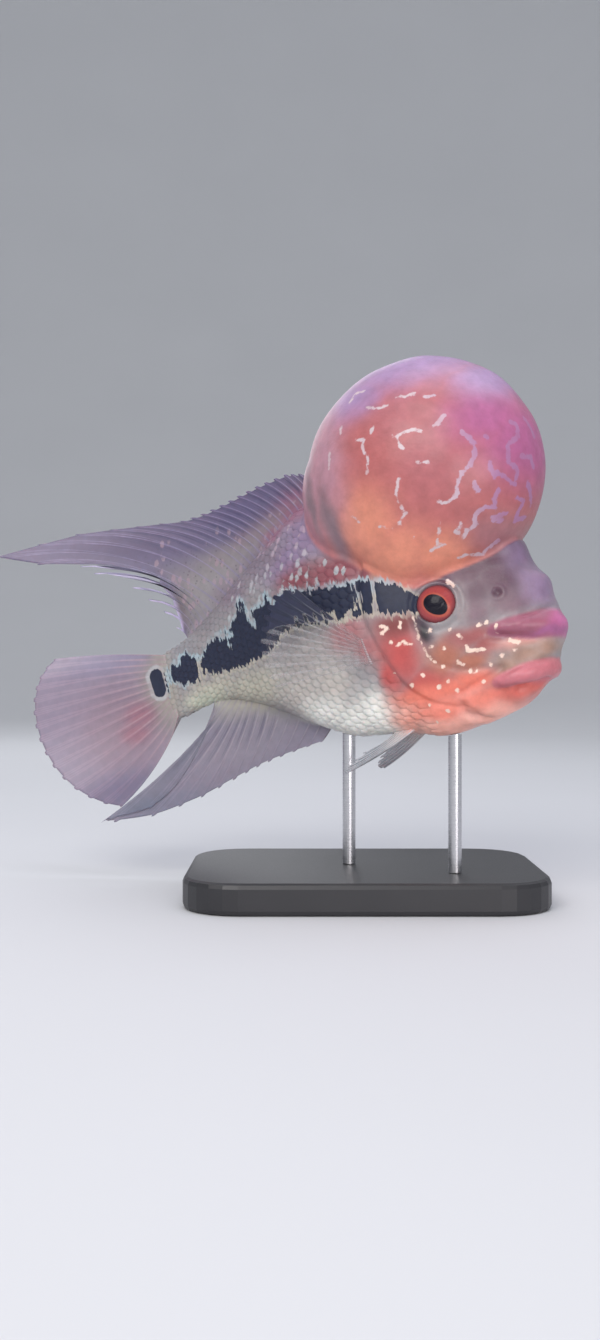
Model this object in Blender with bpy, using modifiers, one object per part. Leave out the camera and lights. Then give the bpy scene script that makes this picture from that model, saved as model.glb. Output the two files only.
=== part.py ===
"""Flowerhorn cichlid, a still life-size model of a swimming fish on a display stand.

The fish is drawn straight and level first: x runs back from the snout, y to its right side and z up.
One function then bends the backbone sideways, leans the body and lifts the head.
"""
import math

import bmesh
import bpy
import numpy as np
from mathutils import Matrix, Vector

# Driving dimensions, in metres and degrees
MM = 0.001
GAP = 0.3 * MM
STANDARD_LENGTH = 188 * MM
TAIL_ROOT = 178 * MM
HEAD_UP = 13.0
LEAN = 8.0
# Heading of the backbone at fractions of the standard length, positive where it recedes
HEADINGS = ((-0.2, 19.0), (0.0, 20.0), (0.3, 25.0), (0.55, 36.5), (0.8, 27.0), (1.0, 12.5), (1.3, 1.0),
            (1.6, 0.0))
SNOUT_PLACE = Vector((118.26, -43.27, 106.0)) * MM

# Body stations: back from snout, top, bottom, height of the widest line, half width, in mm
STATIONS = (
    (1.0, 10.0, -3.0, 1.0, 4.8),
    (2.5, 14.5, -5.0, 1.0, 7.2),
    (4.5, 20.5, -7.5, 1.0, 9.4),
    (6.5, 29.0, -12.0, 2.0, 11.0),
    (8.5, 35.0, -15.5, 3.0, 12.3),
    (13.0, 39.0, -18.8, 4.0, 14.4),
    (20.0, 42.0, -23.5, 6.0, 16.4),
    (30.0, 46.0, -26.3, 8.0, 18.3),
    (42.0, 52.0, -28.0, 10.0, 20.0),
    (54.0, 60.0, -28.5, 12.0, 21.1),
    (66.0, 68.5, -24.5, 15.0, 21.6),
    (80.0, 75.5, -21.5, 19.0, 21.2),
    (90.0, 77.5, -19.8, 22.0, 20.4),
    (102.0, 74.0, -14.3, 25.0, 18.6),
    (120.0, 65.5, -3.6, 28.0, 15.2),
    (140.0, 55.3, 7.3, 28.5, 11.0),
    (155.0, 47.0, 11.8, 28.0, 8.1),
    (165.0, 42.5, 11.2, 26.5, 6.2),
    (173.0, 40.0, 9.4, 25.0, 4.3),
    (178.0, 39.0, 9.0, 24.5, 2.6),
)
UPPER_FULLNESS = 0.95
LOWER_FULLNESS = 0.85
AROUND = 32

# Hump: a main ball and a smaller lobe behind it
HUMP_CENTRE = (38.5 * MM, 0.0, 72.6 * MM)
HUMP_RADII = (47.0 * MM, 37.0 * MM, 45.8 * MM)
HUMP_SAG = 3.5 * MM
SAG_PLACE = 50.0 * MM
SAG_REACH = 15.0 * MM
LOBE_CENTRE = (66.0 * MM, 0.0, 70.0 * MM)
LOBE_RADII = (22.0 * MM, 27.0 * MM, 31.0 * MM)

# Where the gill cover ends: back from snout and height, in mm, from the back down to the throat
GILL_EDGE = ((60, 110), (61, 56), (65, 40), (67.5, 29), (66.5, 17), (63.5, 5), (59, -7), (52, -15),
             (44, -19), (38, -23), (36, -45))
GILL_LIP = 0.9 * MM
FLANK_CUT = 122 * MM
PEDUNCLE_CUT = 156 * MM

# Face, in mm: lips by front, corner, half width, height and drop to the corner, then end and middle radius
UPPER_LIP = (4.4, 24.0, 15.4, 2.0, -2.4, 1.6, 5.3)
LOWER_LIP = (9.9, 27.0, 14.6, -13.0, 2.0, 1.5, 4.3)
MOUTH_LINE = (5.2, 25.0, 16.4, -3.7, -6.3, 0.9, 0.9)
CHEEK_LINE = ((49.5, 24.0), (48.8, 16.0), (47.6, 8.0), (45.2, -1.0), (40.5, -7.5), (33.5, -10.0),
              (28.5, -9.5))
CHEEK_LINE_RADIUS = 0.8 * MM
NOSTRIL_PLACE = (18.9 * MM, 17.4 * MM)
NOSTRIL_RADIUS = 1.3 * MM
NOSTRIL_RIM = 0.55 * MM

# Eyes
EYE_PLACE = (41.0 * MM, 18.3 * MM)
EYE_RADIUS = 9.0 * MM
EYE_SINK = 5.2 * MM
RIM_RADIUS = 7.9 * MM
RIM_THICK = 1.1 * MM

# Fins
RAY_THICK = 1.3 * MM
MEMBRANE_THICK = 0.6 * MM
DORSAL_PARTING = 0.9 * MM

# Stand
BASE_SIZE = (140 * MM, 100 * MM, 12 * MM)
BASE_CORNER = 22 * MM
BASE_PLACE = (44 * MM, -6 * MM)
ROD_RADIUS = 2.6 * MM
ROD_STATIONS = {"stand_rod_front": 52 * MM, "stand_rod_rear": 97 * MM}


# Curves and the body's surface
def curve(knots, values, at):
    """Cubic Hermite curve through the knots, with centred slopes."""
    knots = np.asarray(knots, float)
    values = np.asarray(values, float)
    at = np.asarray(at, float)
    slopes = np.gradient(values, knots)
    i = np.clip(np.searchsorted(knots, at, side="right") - 1, 0, len(knots) - 2)
    step = knots[i + 1] - knots[i]
    t = np.clip((at - knots[i]) / step, 0, 1)
    blend = 3 * t**2 - 2 * t**3
    ends = values[i] * (1 - blend) + values[i + 1] * blend
    return ends + step * ((t**3 - 2 * t**2 + t) * slopes[i] + (t**3 - t**2) * slopes[i + 1])


def station(column, x):
    """Value of one column of the station list at a distance back from the snout."""
    knots = [row[0] * MM for row in STATIONS]
    return curve(knots, [row[column] * MM for row in STATIONS], x)


def body_side(x, z):
    """Half width of the body at a station and a height."""
    mid = station(3, x)
    upper = z > mid
    reach = np.where(upper, (z - mid) / (station(1, x) - mid), (mid - z) / (mid - station(2, x)))
    fullness = np.where(upper, UPPER_FULLNESS, LOWER_FULLNESS)
    return station(4, x) * np.clip(1 - reach**2, 0, 1) ** (fullness / 2)


def body_floor(x, y):
    """Height of the underside at a station, a distance to the side of the middle."""
    mid = station(3, x)
    low = station(2, x)
    share = np.clip(1 - (y / station(4, x)) ** (2 / LOWER_FULLNESS), 0, 1)
    return mid - (mid - low) * np.sqrt(share)


# The pose
BEND_X = np.linspace(-0.03, 0.29, 641)
BEND_KNOTS = [row[0] * STANDARD_LENGTH for row in HEADINGS]
BEND_ANGLE = np.radians(curve(BEND_KNOTS, [row[1] for row in HEADINGS], BEND_X))


def running_total(values):
    """Trapezoid sum along the backbone, zero at the snout."""
    steps = (values[1:] + values[:-1]) / 2 * np.diff(BEND_X)
    total = np.concatenate(([0.0], np.cumsum(steps)))
    return total - np.interp(0.0, BEND_X, total)


BEND_FORWARD = -running_total(np.cos(BEND_ANGLE))
BEND_AWAY = running_total(np.sin(BEND_ANGLE))


def pose(points):
    """Bend the straight fish along its backbone, lean it, lift its head and set it in the frame."""
    x, y, z = np.asarray(points, float).T
    turn = np.interp(x, BEND_X, BEND_ANGLE)
    ahead = np.interp(x, BEND_X, BEND_FORWARD) - np.sin(turn) * y
    away = np.interp(x, BEND_X, BEND_AWAY) - np.cos(turn) * y
    lean, lift = math.radians(LEAN), math.radians(HEAD_UP)
    high = z * math.cos(lean) - away * math.sin(lean)
    away = away * math.cos(lean) + z * math.sin(lean)
    lifted = ahead * math.sin(lift) + high * math.cos(lift)
    ahead = ahead * math.cos(lift) - high * math.sin(lift)
    return np.stack([ahead, away, lifted], axis=1) + np.array(SNOUT_PLACE)


def pose_mesh(thing):
    """Apply the pose to an object's mesh."""
    count = len(thing.data.vertices)
    flat = np.empty(count * 3)
    thing.data.vertices.foreach_get("co", flat)
    thing.data.vertices.foreach_set("co", pose(flat.reshape(count, 3)).ravel())
    thing.data.update()
    return thing


# Blender helpers
def clear_scene():
    """Remove every object of the scene."""
    for thing in list(bpy.data.objects):
        bpy.data.objects.remove(thing, do_unlink=True)


def new_object(name, mesh, group):
    """Link a mesh into a collection as an object."""
    thing = bpy.data.objects.new(name, mesh)
    group.objects.link(thing)
    return thing


def object_from_bmesh(name, shape, group):
    """Turn a bmesh into an object with outward faces."""
    bmesh.ops.recalc_face_normals(shape, faces=shape.faces)
    mesh = bpy.data.meshes.new(name)
    shape.to_mesh(mesh)
    shape.free()
    return new_object(name, mesh, group)


def ball(name, centre, radii, group, rings=14, segments=22):
    """Ellipsoid from a sphere primitive, with its poles up and down."""
    shape = bmesh.new()
    place = Matrix.Translation(centre) @ Matrix.Diagonal((*radii, 1))
    bmesh.ops.create_uvsphere(shape, u_segments=segments, v_segments=rings, radius=1, matrix=place)
    return object_from_bmesh(name, shape, group)


def evaluated_mesh(thing):
    """Mesh of an object with its modifiers applied."""
    graph = bpy.context.evaluated_depsgraph_get()
    return bpy.data.meshes.new_from_object(thing.evaluated_get(graph))


def keep_largest(thing):
    """Keep only the largest closed surface of an object."""
    shape = bmesh.new()
    shape.from_mesh(thing.data)
    unseen = set(shape.faces)
    groups = []
    while unseen:
        start = unseen.pop()
        group, edge = [start], [start]
        while edge:
            face = edge.pop()
            for loop in face.loops:
                for near in loop.edge.link_faces:
                    if near in unseen:
                        unseen.remove(near)
                        group.append(near)
                        edge.append(near)
        groups.append(group)
    groups.sort(key=lambda faces: sum(face.calc_area() for face in faces))
    for group in groups[:-1]:
        bmesh.ops.delete(shape, geom=group, context="FACES")
    shape.to_mesh(thing.data)
    shape.free()


def combine(thing, others, operation):
    """Boolean of an object with a list of others, which are used up."""
    group = bpy.data.collections.new(thing.name + "_others")
    for other in others:
        group.objects.link(other)
    modifier = thing.modifiers.new(operation.title(), "BOOLEAN")
    modifier.operand_type = "COLLECTION"
    modifier.collection = group
    modifier.operation = operation
    modifier.solver = "EXACT"
    thing.data = evaluated_mesh(thing)
    thing.modifiers.clear()
    for other in others:
        bpy.data.objects.remove(other, do_unlink=True)
    bpy.data.collections.remove(group)
    keep_largest(thing)
    return thing


def tube(name, points, radii, group, sides=2):
    """Closed tube along a list of points, with a radius at each."""
    data = bpy.data.curves.new(name, "CURVE")
    data.dimensions = "3D"
    data.bevel_depth = 1.0
    data.bevel_resolution = sides
    data.use_fill_caps = True
    spline = data.splines.new("POLY")
    spline.points.add(len(points) - 1)
    for knot, place, radius in zip(spline.points, points, radii):
        knot.co = (*place, 1)
        knot.radius = radius
    bent = bpy.data.objects.new(name, data)
    group.objects.link(bent)
    bpy.context.view_layer.update()
    mesh = evaluated_mesh(bent)
    bpy.data.objects.remove(bent, do_unlink=True)
    shape = bmesh.new()
    shape.from_mesh(mesh)
    bmesh.ops.remove_doubles(shape, verts=shape.verts, dist=0.00001)
    return object_from_bmesh(name, shape, group)


def paint(thing, colour, roughness, metallic=0.0):
    """Give an object its own Principled material."""
    material = bpy.data.materials.new(thing.name + "_finish")
    material.use_nodes = True
    shader = material.node_tree.nodes["Principled BSDF"]
    shader.inputs["Base Color"].default_value = (*colour, 1)
    shader.inputs["Roughness"].default_value = roughness
    shader.inputs["Metallic"].default_value = metallic
    thing.data.materials.clear()
    thing.data.materials.append(material)


# Flesh
def loft(name, start, end, group, grow=0.0, stations=16, lip=None):
    """Body between two stations: unlike rounded sections joined by faces and capped flat at both ends.

    Grow swells the sections, lip swells their width by its value there, and a loft that starts at the
    snout has its sections closer together there.
    """
    share = np.linspace(0, 1, stations)
    if start < 10 * MM:
        share = share**1.6
    x = start + (end - start) * share
    angle = np.linspace(0, 2 * np.pi, AROUND, endpoint=False)
    x_grid, angle_grid = np.meshgrid(x, angle, indexing="ij")
    top, low = station(1, x_grid) + grow, station(2, x_grid) - grow
    mid, half = station(3, x_grid), station(4, x_grid) + grow
    if lip is not None:
        half = half + lip(x_grid)
    up = np.cos(angle_grid)
    z = mid + np.where(up > 0, (top - mid) * up, (mid - low) * up)
    fullness = np.where(up > 0, UPPER_FULLNESS, LOWER_FULLNESS)
    side = np.sin(angle_grid)
    y = half * np.sign(side) * np.abs(side) ** fullness
    points = np.stack([x_grid, y, z], axis=2).reshape(-1, 3)
    faces = []
    for row in range(stations - 1):
        for column in range(AROUND):
            after = (column + 1) % AROUND
            first, second = row * AROUND, (row + 1) * AROUND
            faces.append((first + column, first + after, second + after, second + column))
    faces.append(tuple(range(AROUND)))
    faces.append(tuple(reversed(range((stations - 1) * AROUND, stations * AROUND))))
    shape = bmesh.new()
    corners = [shape.verts.new(point) for point in points]
    for face in faces:
        shape.faces.new([corners[i] for i in face])
    return object_from_bmesh(name, shape, group)


def slab(name, outline, group, half_width=60 * MM):
    """Prism across the fish from an outline in the plane of its backbone."""
    shape = bmesh.new()
    near = [shape.verts.new((x, -half_width, z)) for x, z in outline]
    shape.faces.new(near)
    grown = bmesh.ops.extrude_face_region(shape, geom=shape.faces[:])
    moved = [item for item in grown["geom"] if isinstance(item, bmesh.types.BMVert)]
    bmesh.ops.translate(shape, verts=moved, vec=(0, 2 * half_width, 0))
    return object_from_bmesh(name, shape, group)


def gill_outline(shift, far):
    """Gill edge moved along the body by shift and closed on the side of far."""
    edge = [(x * MM + shift, z * MM) for x, z in GILL_EDGE]
    return edge + [(far, edge[-1][1]), (far, edge[0][1])]


def mouth_tube(name, sizes, tools, count=17):
    """Tube on a half ellipse round the snout, thickest in the middle, from mouth corner to mouth corner."""
    front, corner, half_width, height, drop, end, middle = (size * MM for size in sizes)
    turn = np.linspace(-np.pi / 2, np.pi / 2, count)
    x = corner - (corner - front) * np.cos(turn)
    y = half_width * np.sin(turn)
    z = height - drop * (1 - np.cos(turn))
    return tube(name, np.stack([x, y, z], axis=1), end + (middle - end) * np.cos(turn) ** 0.8, tools)


def side_frame(x, z):
    """Point on the right flank and the outward direction there."""
    step = 0.5 * MM
    along = (body_side(x + step, z) - body_side(x - step, z)) / (2 * step)
    above = (body_side(x, z + step) - body_side(x, z - step)) / (2 * step)
    outward = Vector((-float(along), 1.0, -float(above))).normalized()
    return Vector((x, float(body_side(x, z)), z)), outward


def mirrored(vector, side):
    """The same vector on the right (1) or the left (-1) side."""
    return Vector((vector.x, vector.y * side, vector.z))


def skin_ring(name, where, side, radius, thick, group, segments=24):
    """Ring lying on the skin of one side round an opening, from a torus primitive."""
    place, outward = side_frame(*where)
    bpy.ops.mesh.primitive_torus_add(major_segments=segments, minor_segments=6, major_radius=radius,
                                     minor_radius=thick)
    ring = bpy.context.object
    mesh = ring.data
    turn = mirrored(outward, side).to_track_quat("Z", "Y").to_matrix().to_4x4()
    mesh.transform(Matrix.Translation(mirrored(place, side)) @ turn)
    bpy.data.objects.remove(ring, do_unlink=True)
    return new_object(name, mesh, group)


def cheek_groove(side, tools):
    """Cutter for the crease between the cheek and the gill cover."""
    knots = np.linspace(0, 1, len(CHEEK_LINE))
    share = np.linspace(0, 1, 13)
    x = curve(knots, [point[0] * MM for point in CHEEK_LINE], share)
    z = curve(knots, [point[1] * MM for point in CHEEK_LINE], share)
    y = side * (body_side(x, z) + gill_lip(x))
    radii = CHEEK_LINE_RADIUS * (0.3 + 0.7 * np.sin(np.pi * share))
    return tube("cheek_groove", np.stack([x, y, z], axis=1), radii, tools, sides=1)


def gill_lip(x):
    """How far the rear of the gill covers stands out of the body."""
    return GILL_LIP * np.clip((x - 48 * MM) / (12 * MM), 0, 1)


def build_head(parts, tools):
    """Skull, jaws and gill covers in one node, with lips, mouth line, nostrils and orbit rims."""
    head = loft("head", STATIONS[0][0] * MM, 76 * MM, parts, stations=20, lip=gill_lip)
    raised = [mouth_tube("upper_lip", UPPER_LIP, tools), mouth_tube("lower_lip", LOWER_LIP, tools)]
    cuts = [mouth_tube("mouth_line", MOUTH_LINE, tools)]
    for side in (1, -1):
        raised.append(skin_ring("orbit_rim", EYE_PLACE, side, RIM_RADIUS, RIM_THICK, tools))
        rim_radius = NOSTRIL_RADIUS + NOSTRIL_RIM
        rim = skin_ring("nostril_rim", NOSTRIL_PLACE, side, rim_radius, NOSTRIL_RIM, tools, segments=12)
        raised.append(rim)
        nostril, _ = side_frame(*NOSTRIL_PLACE)
        radii = (NOSTRIL_RADIUS,) * 3
        cuts.append(ball("nostril", mirrored(nostril, side), radii, tools, rings=6, segments=10))
        cuts.append(eyeball("socket", side, EYE_RADIUS + GAP, tools))
        cuts.append(cheek_groove(side, tools))
    combine(head, raised, "UNION")
    combine(head, cuts, "DIFFERENCE")
    combine(head, [slab("front_region", gill_outline(-GAP / 2, -40 * MM), tools)], "INTERSECT")
    return head


def build_trunk(parts, tools):
    """Torso, flank and tail root, parted by thin cuts."""
    torso = loft("torso", 30 * MM, FLANK_CUT, parts, stations=15)
    combine(torso, [slab("rear_region", gill_outline(GAP / 2, 200 * MM), tools)], "INTERSECT")
    flank = loft("flank", FLANK_CUT + GAP, PEDUNCLE_CUT, parts, stations=7)
    peduncle = loft("tail_peduncle", PEDUNCLE_CUT + GAP, TAIL_ROOT, parts, stations=7)
    return torso, flank, peduncle


def build_hump(parts, tools):
    """Ball-shaped hump that sits on the brow and nape and overhangs the eyes."""
    hump = ball("nuchal_hump", HUMP_CENTRE, HUMP_RADII, parts, rings=18, segments=30)
    for corner in hump.data.vertices:
        below = max(0.0, (HUMP_CENTRE[2] - corner.co.z) / HUMP_RADII[2])
        near = math.exp(-((corner.co.x - SAG_PLACE) / SAG_REACH) ** 2)
        corner.co.z -= HUMP_SAG * near * below**2
    lobe = ball("rear_lobe", LOBE_CENTRE, LOBE_RADII, tools, rings=14, segments=22)
    combine(hump, [lobe], "UNION")
    under = loft("under_hump", STATIONS[0][0] * MM, 110 * MM, tools, grow=GAP, stations=26)
    gills = loft("under_gills", STATIONS[0][0] * MM, 76 * MM, tools, grow=GAP, stations=20, lip=gill_lip)
    combine(hump, [under, gills], "DIFFERENCE")
    return hump


def eyeball(name, side, radius, group):
    """Ball, sunk so that a shallow dome stands out of the skin."""
    place, outward = side_frame(*EYE_PLACE)
    centre = mirrored(place - outward * EYE_SINK, side)
    return ball(name, centre, (radius,) * 3, group, rings=12, segments=20)


# Fins
def ray_columns(roots, tips, bow, rows=7, notch=0.06, sway=0.0):
    """Grid of a fin with two columns to a ray: the ray itself, then the membrane half way to the next.

    Each ray is a bow from its root to its tip, and bow is how far its middle is pushed aside.
    """
    roots, tips, bow = (np.asarray(part, float) for part in (roots, tips, bow))
    count = len(roots)
    middle = (roots + tips) / 2 + bow
    u = np.linspace(0, 1, rows)[None, :, None]
    rays = (1 - u) ** 2 * roots[:, None] + 2 * u * (1 - u) * middle[:, None] + u**2 * tips[:, None]
    v = u * (1 - notch)
    webs = (1 - v) ** 2 * roots[:, None] + 2 * v * (1 - v) * middle[:, None] + v**2 * tips[:, None]
    webs = (webs[1:] + webs[:-1]) / 2
    columns = np.empty((2 * count - 1, rows, 3))
    columns[0::2] = rays
    columns[1::2] = webs
    wave = np.sin(np.linspace(0, 3 * np.pi, 2 * count - 1))[:, None]
    columns[:, :, 1] += sway * wave * np.linspace(0, 1, rows)[None, :] ** 1.5
    return columns


def membrane(name, columns, group):
    """Fin with raised rays: an open grid of columns in the pose, thickened by Solidify, most at rays."""
    count, rows = columns.shape[:2]
    height = np.linspace(0, 1, rows)
    ray_weight = 1.0 - 0.5 * height
    web_weight = 0.35 * (1 - np.clip(height * 3, 0, 1))
    shape = bmesh.new()
    layer = shape.verts.layers.deform.verify()
    corners = []
    for i in range(count):
        weights = ray_weight if i % 2 == 0 else web_weight
        column = []
        for j in range(rows):
            corner = shape.verts.new(pose(columns[i, j][None])[0])
            corner[layer][0] = float(weights[j])
            column.append(corner)
        corners.append(column)
    for i in range(count - 1):
        for j in range(rows - 1):
            a, b = corners[i][j], corners[i + 1][j]
            c, d = corners[i + 1][j + 1], corners[i][j + 1]
            shape.faces.new((a, b, c))
            shape.faces.new((a, c, d))
    mesh = bpy.data.meshes.new(name)
    shape.to_mesh(mesh)
    shape.free()
    thing = new_object(name, mesh, group)
    thing.vertex_groups.new(name="ray")
    walls = thing.modifiers.new("Thickness", "SOLIDIFY")
    walls.thickness = RAY_THICK
    walls.offset = 0
    walls.vertex_group = "ray"
    walls.thickness_vertex_group = MEMBRANE_THICK / RAY_THICK
    return thing


def plane_points(x, z):
    """Points in the plane of the backbone, from distances in mm."""
    return np.stack([np.asarray(x) * MM, np.zeros(len(x)), np.asarray(z) * MM], axis=1)


def sideways_bow(roots, tips, share):
    """Push the middle of each ray out at a right angle to it, by a share of its length."""
    along = tips - roots
    square = np.stack([-along[:, 2], np.zeros(len(along)), along[:, 0]], axis=1)
    return square * share


def median_roots(x, column, side):
    """Roots along the top (side 1) or the bottom (side -1) of the body."""
    z = station(column, x) + side * GAP
    return np.stack([x, np.zeros(len(x)), z], axis=1)


def build_dorsal(parts):
    """Long dorsal fin: 16 spines, then 12 soft rays drawn out to a tip, parted behind the last spine."""
    spines = np.linspace(91.5, 146, 16)
    soft = np.linspace(149, 165, 12)
    roots = median_roots(np.concatenate([spines, soft]) * MM, 1, 1)
    order = np.linspace(0, 1, len(roots))
    knots = (0, 0.12, 0.3, 0.5, 0.62, 0.72, 0.8, 0.86, 0.91, 0.955, 1.0)
    tip_x = curve(knots, (93, 104, 124, 152, 171, 192, 219, 246, 219, 196, 176), order)
    tip_z = curve(knots, (90, 96.5, 98, 96, 95.5, 96, 98, 99.5, 91, 76, 57), order)
    tips = plane_points(tip_x, tip_z)
    columns = ray_columns(roots, tips, sideways_bow(roots, tips, 0.07), rows=8, sway=1.5 * MM)
    last_spine = 2 * (len(spines) - 1)
    membrane("dorsal_fin_spiny", columns[:last_spine + 1], parts)
    soft_part = columns[last_spine:].copy()
    soft_part[0, :, 0] += DORSAL_PARTING
    membrane("dorsal_fin_soft", soft_part, parts)


def build_anal(parts):
    """Anal fin: 8 spines, then 9 soft rays drawn out to a pointed tip."""
    spines = np.linspace(104, 136, 8)
    soft = np.linspace(139.5, 158, 9)
    roots = median_roots(np.concatenate([spines, soft]) * MM, 2, -1)
    order = np.linspace(0, 1, len(roots))
    knots = (0, 0.15, 0.3, 0.45, 0.6, 0.7, 0.79, 0.87, 0.94, 1.0)
    tip_x = curve(knots, (111, 128, 144, 160, 181, 201, 221, 200, 183, 168), order)
    tip_z = curve(knots, (-17, -18, -19.5, -22.5, -27, -29, -26.5, -26, -17, 0), order)
    tips = plane_points(tip_x, tip_z)
    bow = sideways_bow(roots, tips, -0.06)
    membrane("anal_fin", ray_columns(roots, tips, bow, rows=7, sway=1.2 * MM), parts)


def build_caudal(parts):
    """Rounded tail fin: a fan of 15 rays, held a little low."""
    order = np.linspace(0, 1, 15)
    root_z = 37.6 - 27.2 * order
    root_x = np.full(15, TAIL_ROOT / MM + GAP / MM)
    angle = np.radians(13 - 26.5 * order - 31 * order**2)
    length = 49 + 49.2 * order - 53.2 * order**2
    roots = plane_points(root_x, root_z)
    tips = plane_points(root_x + length * np.cos(angle), root_z + length * np.sin(angle))
    membrane("caudal_fin", ray_columns(roots, tips, np.zeros((15, 3)), rows=8, sway=1.5 * MM), parts)


def build_pectoral(name, side, parts):
    """Pectoral fin: a fan of 11 rays, folded back and up along the flank."""
    order = np.linspace(0, 1, 11)
    root_x = (70.5 - 1.5 * order) * MM
    root_z = (14 - 10 * order) * MM
    stand_off = GAP + RAY_THICK * 0.6
    roots = np.stack([root_x, body_side(root_x, root_z) + stand_off, root_z], axis=1)
    angle = np.radians(58 - 56 * order)
    length = (34 + 26 * order - 24 * order**2) * MM
    tip_x = root_x + length * np.cos(angle)
    tip_z = root_z + length * np.sin(angle)
    tips = np.stack([tip_x, np.full(11, 30 * MM), tip_z], axis=1)
    bow = np.zeros((11, 3))
    bow[:, 1] = 1.5 * MM
    for part in (roots, tips, bow):
        part[:, 1] *= side
    membrane(name, ray_columns(roots, tips, bow, rows=6, notch=0.05), parts)


def build_pelvic(name, side, parts):
    """Pelvic fin: one spine and five rays, folded back under the belly."""
    order = np.linspace(0, 1, 6)
    root_x = (64 + 8 * order) * MM
    root_y = (7.5 - 2.0 * order) * MM
    root_z = body_floor(root_x, root_y) - GAP - RAY_THICK * 0.35
    roots = np.stack([root_x, root_y, root_z], axis=1)
    tip_x = (93 + 10 * order - 16 * order**2) * MM
    tip_z = (-33 + 1 * order + 5.5 * order**2) * MM
    tip_y = (14 - 6 * order) * MM
    tips = np.stack([tip_x, tip_y, tip_z], axis=1)
    bow = np.zeros((6, 3))
    bow[:, 2] = -1.5 * MM
    for part in (roots, tips, bow):
        part[:, 1] *= side
    membrane(name, ray_columns(roots, tips, bow, rows=7, notch=0.1), parts)


# Stand
def build_base(parts):
    """Flat plate with rounded corners and a small bevel."""
    shape = bmesh.new()
    lift = Matrix.Translation((*BASE_PLACE, BASE_SIZE[2] / 2)) @ Matrix.Diagonal((*BASE_SIZE, 1))
    bmesh.ops.create_cube(shape, size=1, matrix=lift)
    upright = [e for e in shape.edges if abs(e.verts[0].co.z - e.verts[1].co.z) > BASE_SIZE[2] / 2]
    bmesh.ops.bevel(shape, geom=upright, offset=BASE_CORNER, segments=6, profile=0.5, affect="EDGES")
    base = object_from_bmesh("stand_base", shape, parts)
    bevel = base.modifiers.new("Edge", "BEVEL")
    bevel.width = 2 * MM
    bevel.segments = 2
    bevel.limit_method = "ANGLE"
    bevel.angle_limit = math.radians(50)
    return base


def build_rod(name, x, parts, tools):
    """Upright rod from the base to the belly, with its top cut to fit under the skin."""
    belly = pose([[x, 0, float(body_floor(x, 0.0))]])[0]
    low, high = BASE_SIZE[2] + GAP, belly[2] + 4 * MM
    shape = bmesh.new()
    place = Matrix.Translation((belly[0], belly[1], (low + high) / 2))
    bmesh.ops.create_cone(shape, cap_ends=True, segments=20, radius1=ROD_RADIUS, radius2=ROD_RADIUS,
                          depth=high - low, matrix=place)
    rod = object_from_bmesh(name, shape, parts)
    skin = pose_mesh(loft("belly_skin", 30 * MM, FLANK_CUT, tools, grow=GAP, stations=30))
    return combine(rod, [skin], "DIFFERENCE")


# Finishes
COLOURS = {
    "head": ((0.72, 0.26, 0.22), 0.4),
    "nuchal_hump": ((0.75, 0.26, 0.25), 0.38),
    "torso": ((0.62, 0.42, 0.36), 0.42),
    "flank": ((0.5, 0.44, 0.36), 0.42),
    "tail_peduncle": ((0.5, 0.45, 0.38), 0.42),
    "eye_left": ((0.6, 0.08, 0.06), 0.15),
    "eye_right": ((0.6, 0.08, 0.06), 0.15),
    "dorsal_fin_spiny": ((0.48, 0.42, 0.52), 0.45),
    "dorsal_fin_soft": ((0.48, 0.42, 0.52), 0.45),
    "anal_fin": ((0.55, 0.48, 0.56), 0.45),
    "caudal_fin": ((0.6, 0.45, 0.5), 0.45),
    "pectoral_fin_left": ((0.7, 0.66, 0.66), 0.4),
    "pectoral_fin_right": ((0.7, 0.66, 0.66), 0.4),
    "pelvic_fin_left": ((0.7, 0.7, 0.7), 0.4),
    "pelvic_fin_right": ((0.7, 0.7, 0.7), 0.4),
    "stand_base": ((0.03, 0.03, 0.035), 0.35),
    "stand_rod_front": ((0.6, 0.6, 0.62), 0.3),
    "stand_rod_rear": ((0.6, 0.6, 0.62), 0.3),
}


def build():
    """Make every part of the fish and its stand."""
    clear_scene()
    parts = bpy.data.collections.new("flowerhorn_cichlid")
    tools = bpy.data.collections.new("cutters")
    bpy.context.scene.collection.children.link(parts)
    bpy.context.scene.collection.children.link(tools)
    flesh = [build_head(parts, tools), *build_trunk(parts, tools), build_hump(parts, tools)]
    for side, word in ((1, "right"), (-1, "left")):
        flesh.append(eyeball("eye_" + word, side, EYE_RADIUS, parts))
    for thing in flesh:
        pose_mesh(thing)
    build_dorsal(parts)
    build_anal(parts)
    build_caudal(parts)
    for side, word in ((1, "right"), (-1, "left")):
        build_pectoral("pectoral_fin_" + word, side, parts)
        build_pelvic("pelvic_fin_" + word, side, parts)
    build_base(parts)
    for name, x in ROD_STATIONS.items():
        build_rod(name, x, parts, tools)
    for thing in parts.objects:
        colour, roughness = COLOURS[thing.name]
        paint(thing, colour, roughness, metallic=1.0 if "rod" in thing.name else 0.0)
        if "fin" not in thing.name:
            thing.data.shade_smooth()


build()
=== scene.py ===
"""Looks of a flowerhorn cichlid, a still life-size model held by a display stand.

Every piece of the fish is worked out on a straight, level fish, in millimetres: x runs back from the
snout, y to its right side and z up. pose() then bends, leans and lifts it as the solids are. Each piece
keeps its straight place in the attribute "lie" and its markings in others, so that the pattern runs on
from the skin over the scales and onto the fins, alike on both sides.
"""
import math

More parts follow.
